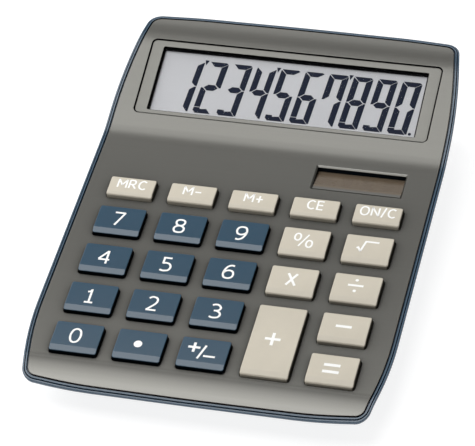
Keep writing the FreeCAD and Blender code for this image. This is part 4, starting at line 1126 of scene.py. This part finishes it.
class CALCULATOR_OT_solar(Operator):
    """Solar cell and its tinted window"""
    bl_idname = "calculator.solar"
    bl_label = "Solar cell"

    def execute(self, context):
        settings = context.scene.calculator_body
        front_colour = shade(settings.plate_colour, 0.85)
        dress(solar_silicon("cell_silicon", settings.cell_colour), "solar_cell")
        dress(fading_window("tinted_window", settings.cell_colour, front_colour, 0.75, 0.2), "solar_window")
        dress(moulded_plastic("lead_sleeve", (0.35, 0.03, 0.02), 0.45), "solar_leads")
        return {"FINISHED"}


class CALCULATOR_OT_works(Operator):
    """Boards, keypad mat, cell, contacts and other works inside"""
    bl_idname = "calculator.works"
    bl_label = "Inner works"

    def execute(self, context):
        laminate = board_laminate("board_laminate", (0.03, 0.13, 0.05), (0.16, 0.26, 0.08))
        steel = plated_metal("plated_steel", (0.6, 0.6, 0.6), 0.25)
        brass = (0.62, 0.55, 0.38)
        dress(laminate, "circuit_board", "display_board")
        dress(steel, "board_screws", "display_screws", "button_cell")
        dress(plated_metal("spring_strip", brass, 0.3), "cell_contact")
        dress(plated_metal("side_spring", brass, 0.3), "side_contact")
        dress(soft_rubber("keypad_rubber", (0.32, 0.33, 0.33), 0.6), "keypad_mat", "contact_strip")
        dress(soft_rubber("cushion_foam", (0.05, 0.05, 0.05), 0.95), "lcd_cushion")
        dress(moulded_plastic("ribbon_film", (0.42, 0.22, 0.06), 0.4), "ribbon_cable")
        dress(moulded_plastic("chip_resin", (0.012, 0.012, 0.014), 0.25), "chip_blob")
        dress(moulded_plastic("capacitor_sleeve", (0.03, 0.03, 0.07), 0.3), "capacitor")
        return {"FINISHED"}


OPERATORS = (
    CALCULATOR_OT_stage, CALCULATOR_OT_keys, CALCULATOR_OT_legends, CALCULATOR_OT_display,
    CALCULATOR_OT_body, CALCULATOR_OT_solar, CALCULATOR_OT_works,
)


class CALCULATOR_PT_sidebar(Panel):
    """Steps that dress the calculator, and their settings"""
    bl_idname = "CALCULATOR_PT_sidebar"
    bl_label = "Calculator"
    bl_space_type = "VIEW_3D"
    bl_region_type = "UI"
    bl_category = "Calculator"

    def draw(self, context):
        for operator in OPERATORS:
            self.layout.operator(operator.bl_idname)
        for group in SETTINGS:
            settings = getattr(context.scene, group)
            for name in settings.bl_rna.properties.keys():
                if name not in ("rna_type", "name"):
                    self.layout.prop(settings, name)


SETTINGS = {
    "calculator_keys": CalculatorKeySettings,
    "calculator_display": CalculatorDisplaySettings,
    "calculator_body": CalculatorBodySettings,
    "calculator_stage": CalculatorStageSettings,
}


def register():
    for settings in SETTINGS.values():
        bpy.utils.register_class(settings)
    for name, settings in SETTINGS.items():
        setattr(bpy.types.Scene, name, PointerProperty(type=settings))
    for operator in OPERATORS:
        bpy.utils.register_class(operator)
    bpy.utils.register_class(CALCULATOR_PT_sidebar)


def unregister():
    bpy.utils.unregister_class(CALCULATOR_PT_sidebar)
    for operator in reversed(OPERATORS):
        bpy.utils.unregister_class(operator)
    for name in SETTINGS:
        delattr(bpy.types.Scene, name)
    for settings in SETTINGS.values():
        bpy.utils.unregister_class(settings)


def main():
    register()
    bpy.ops.calculator.stage()
    bpy.ops.calculator.keys()
    bpy.ops.calculator.legends()
    bpy.ops.calculator.display()
    bpy.ops.calculator.body()
    bpy.ops.calculator.solar()
    bpy.ops.calculator.works()
    bpy.context.view_layer.update()


if __name__ == "__main__":
    main()
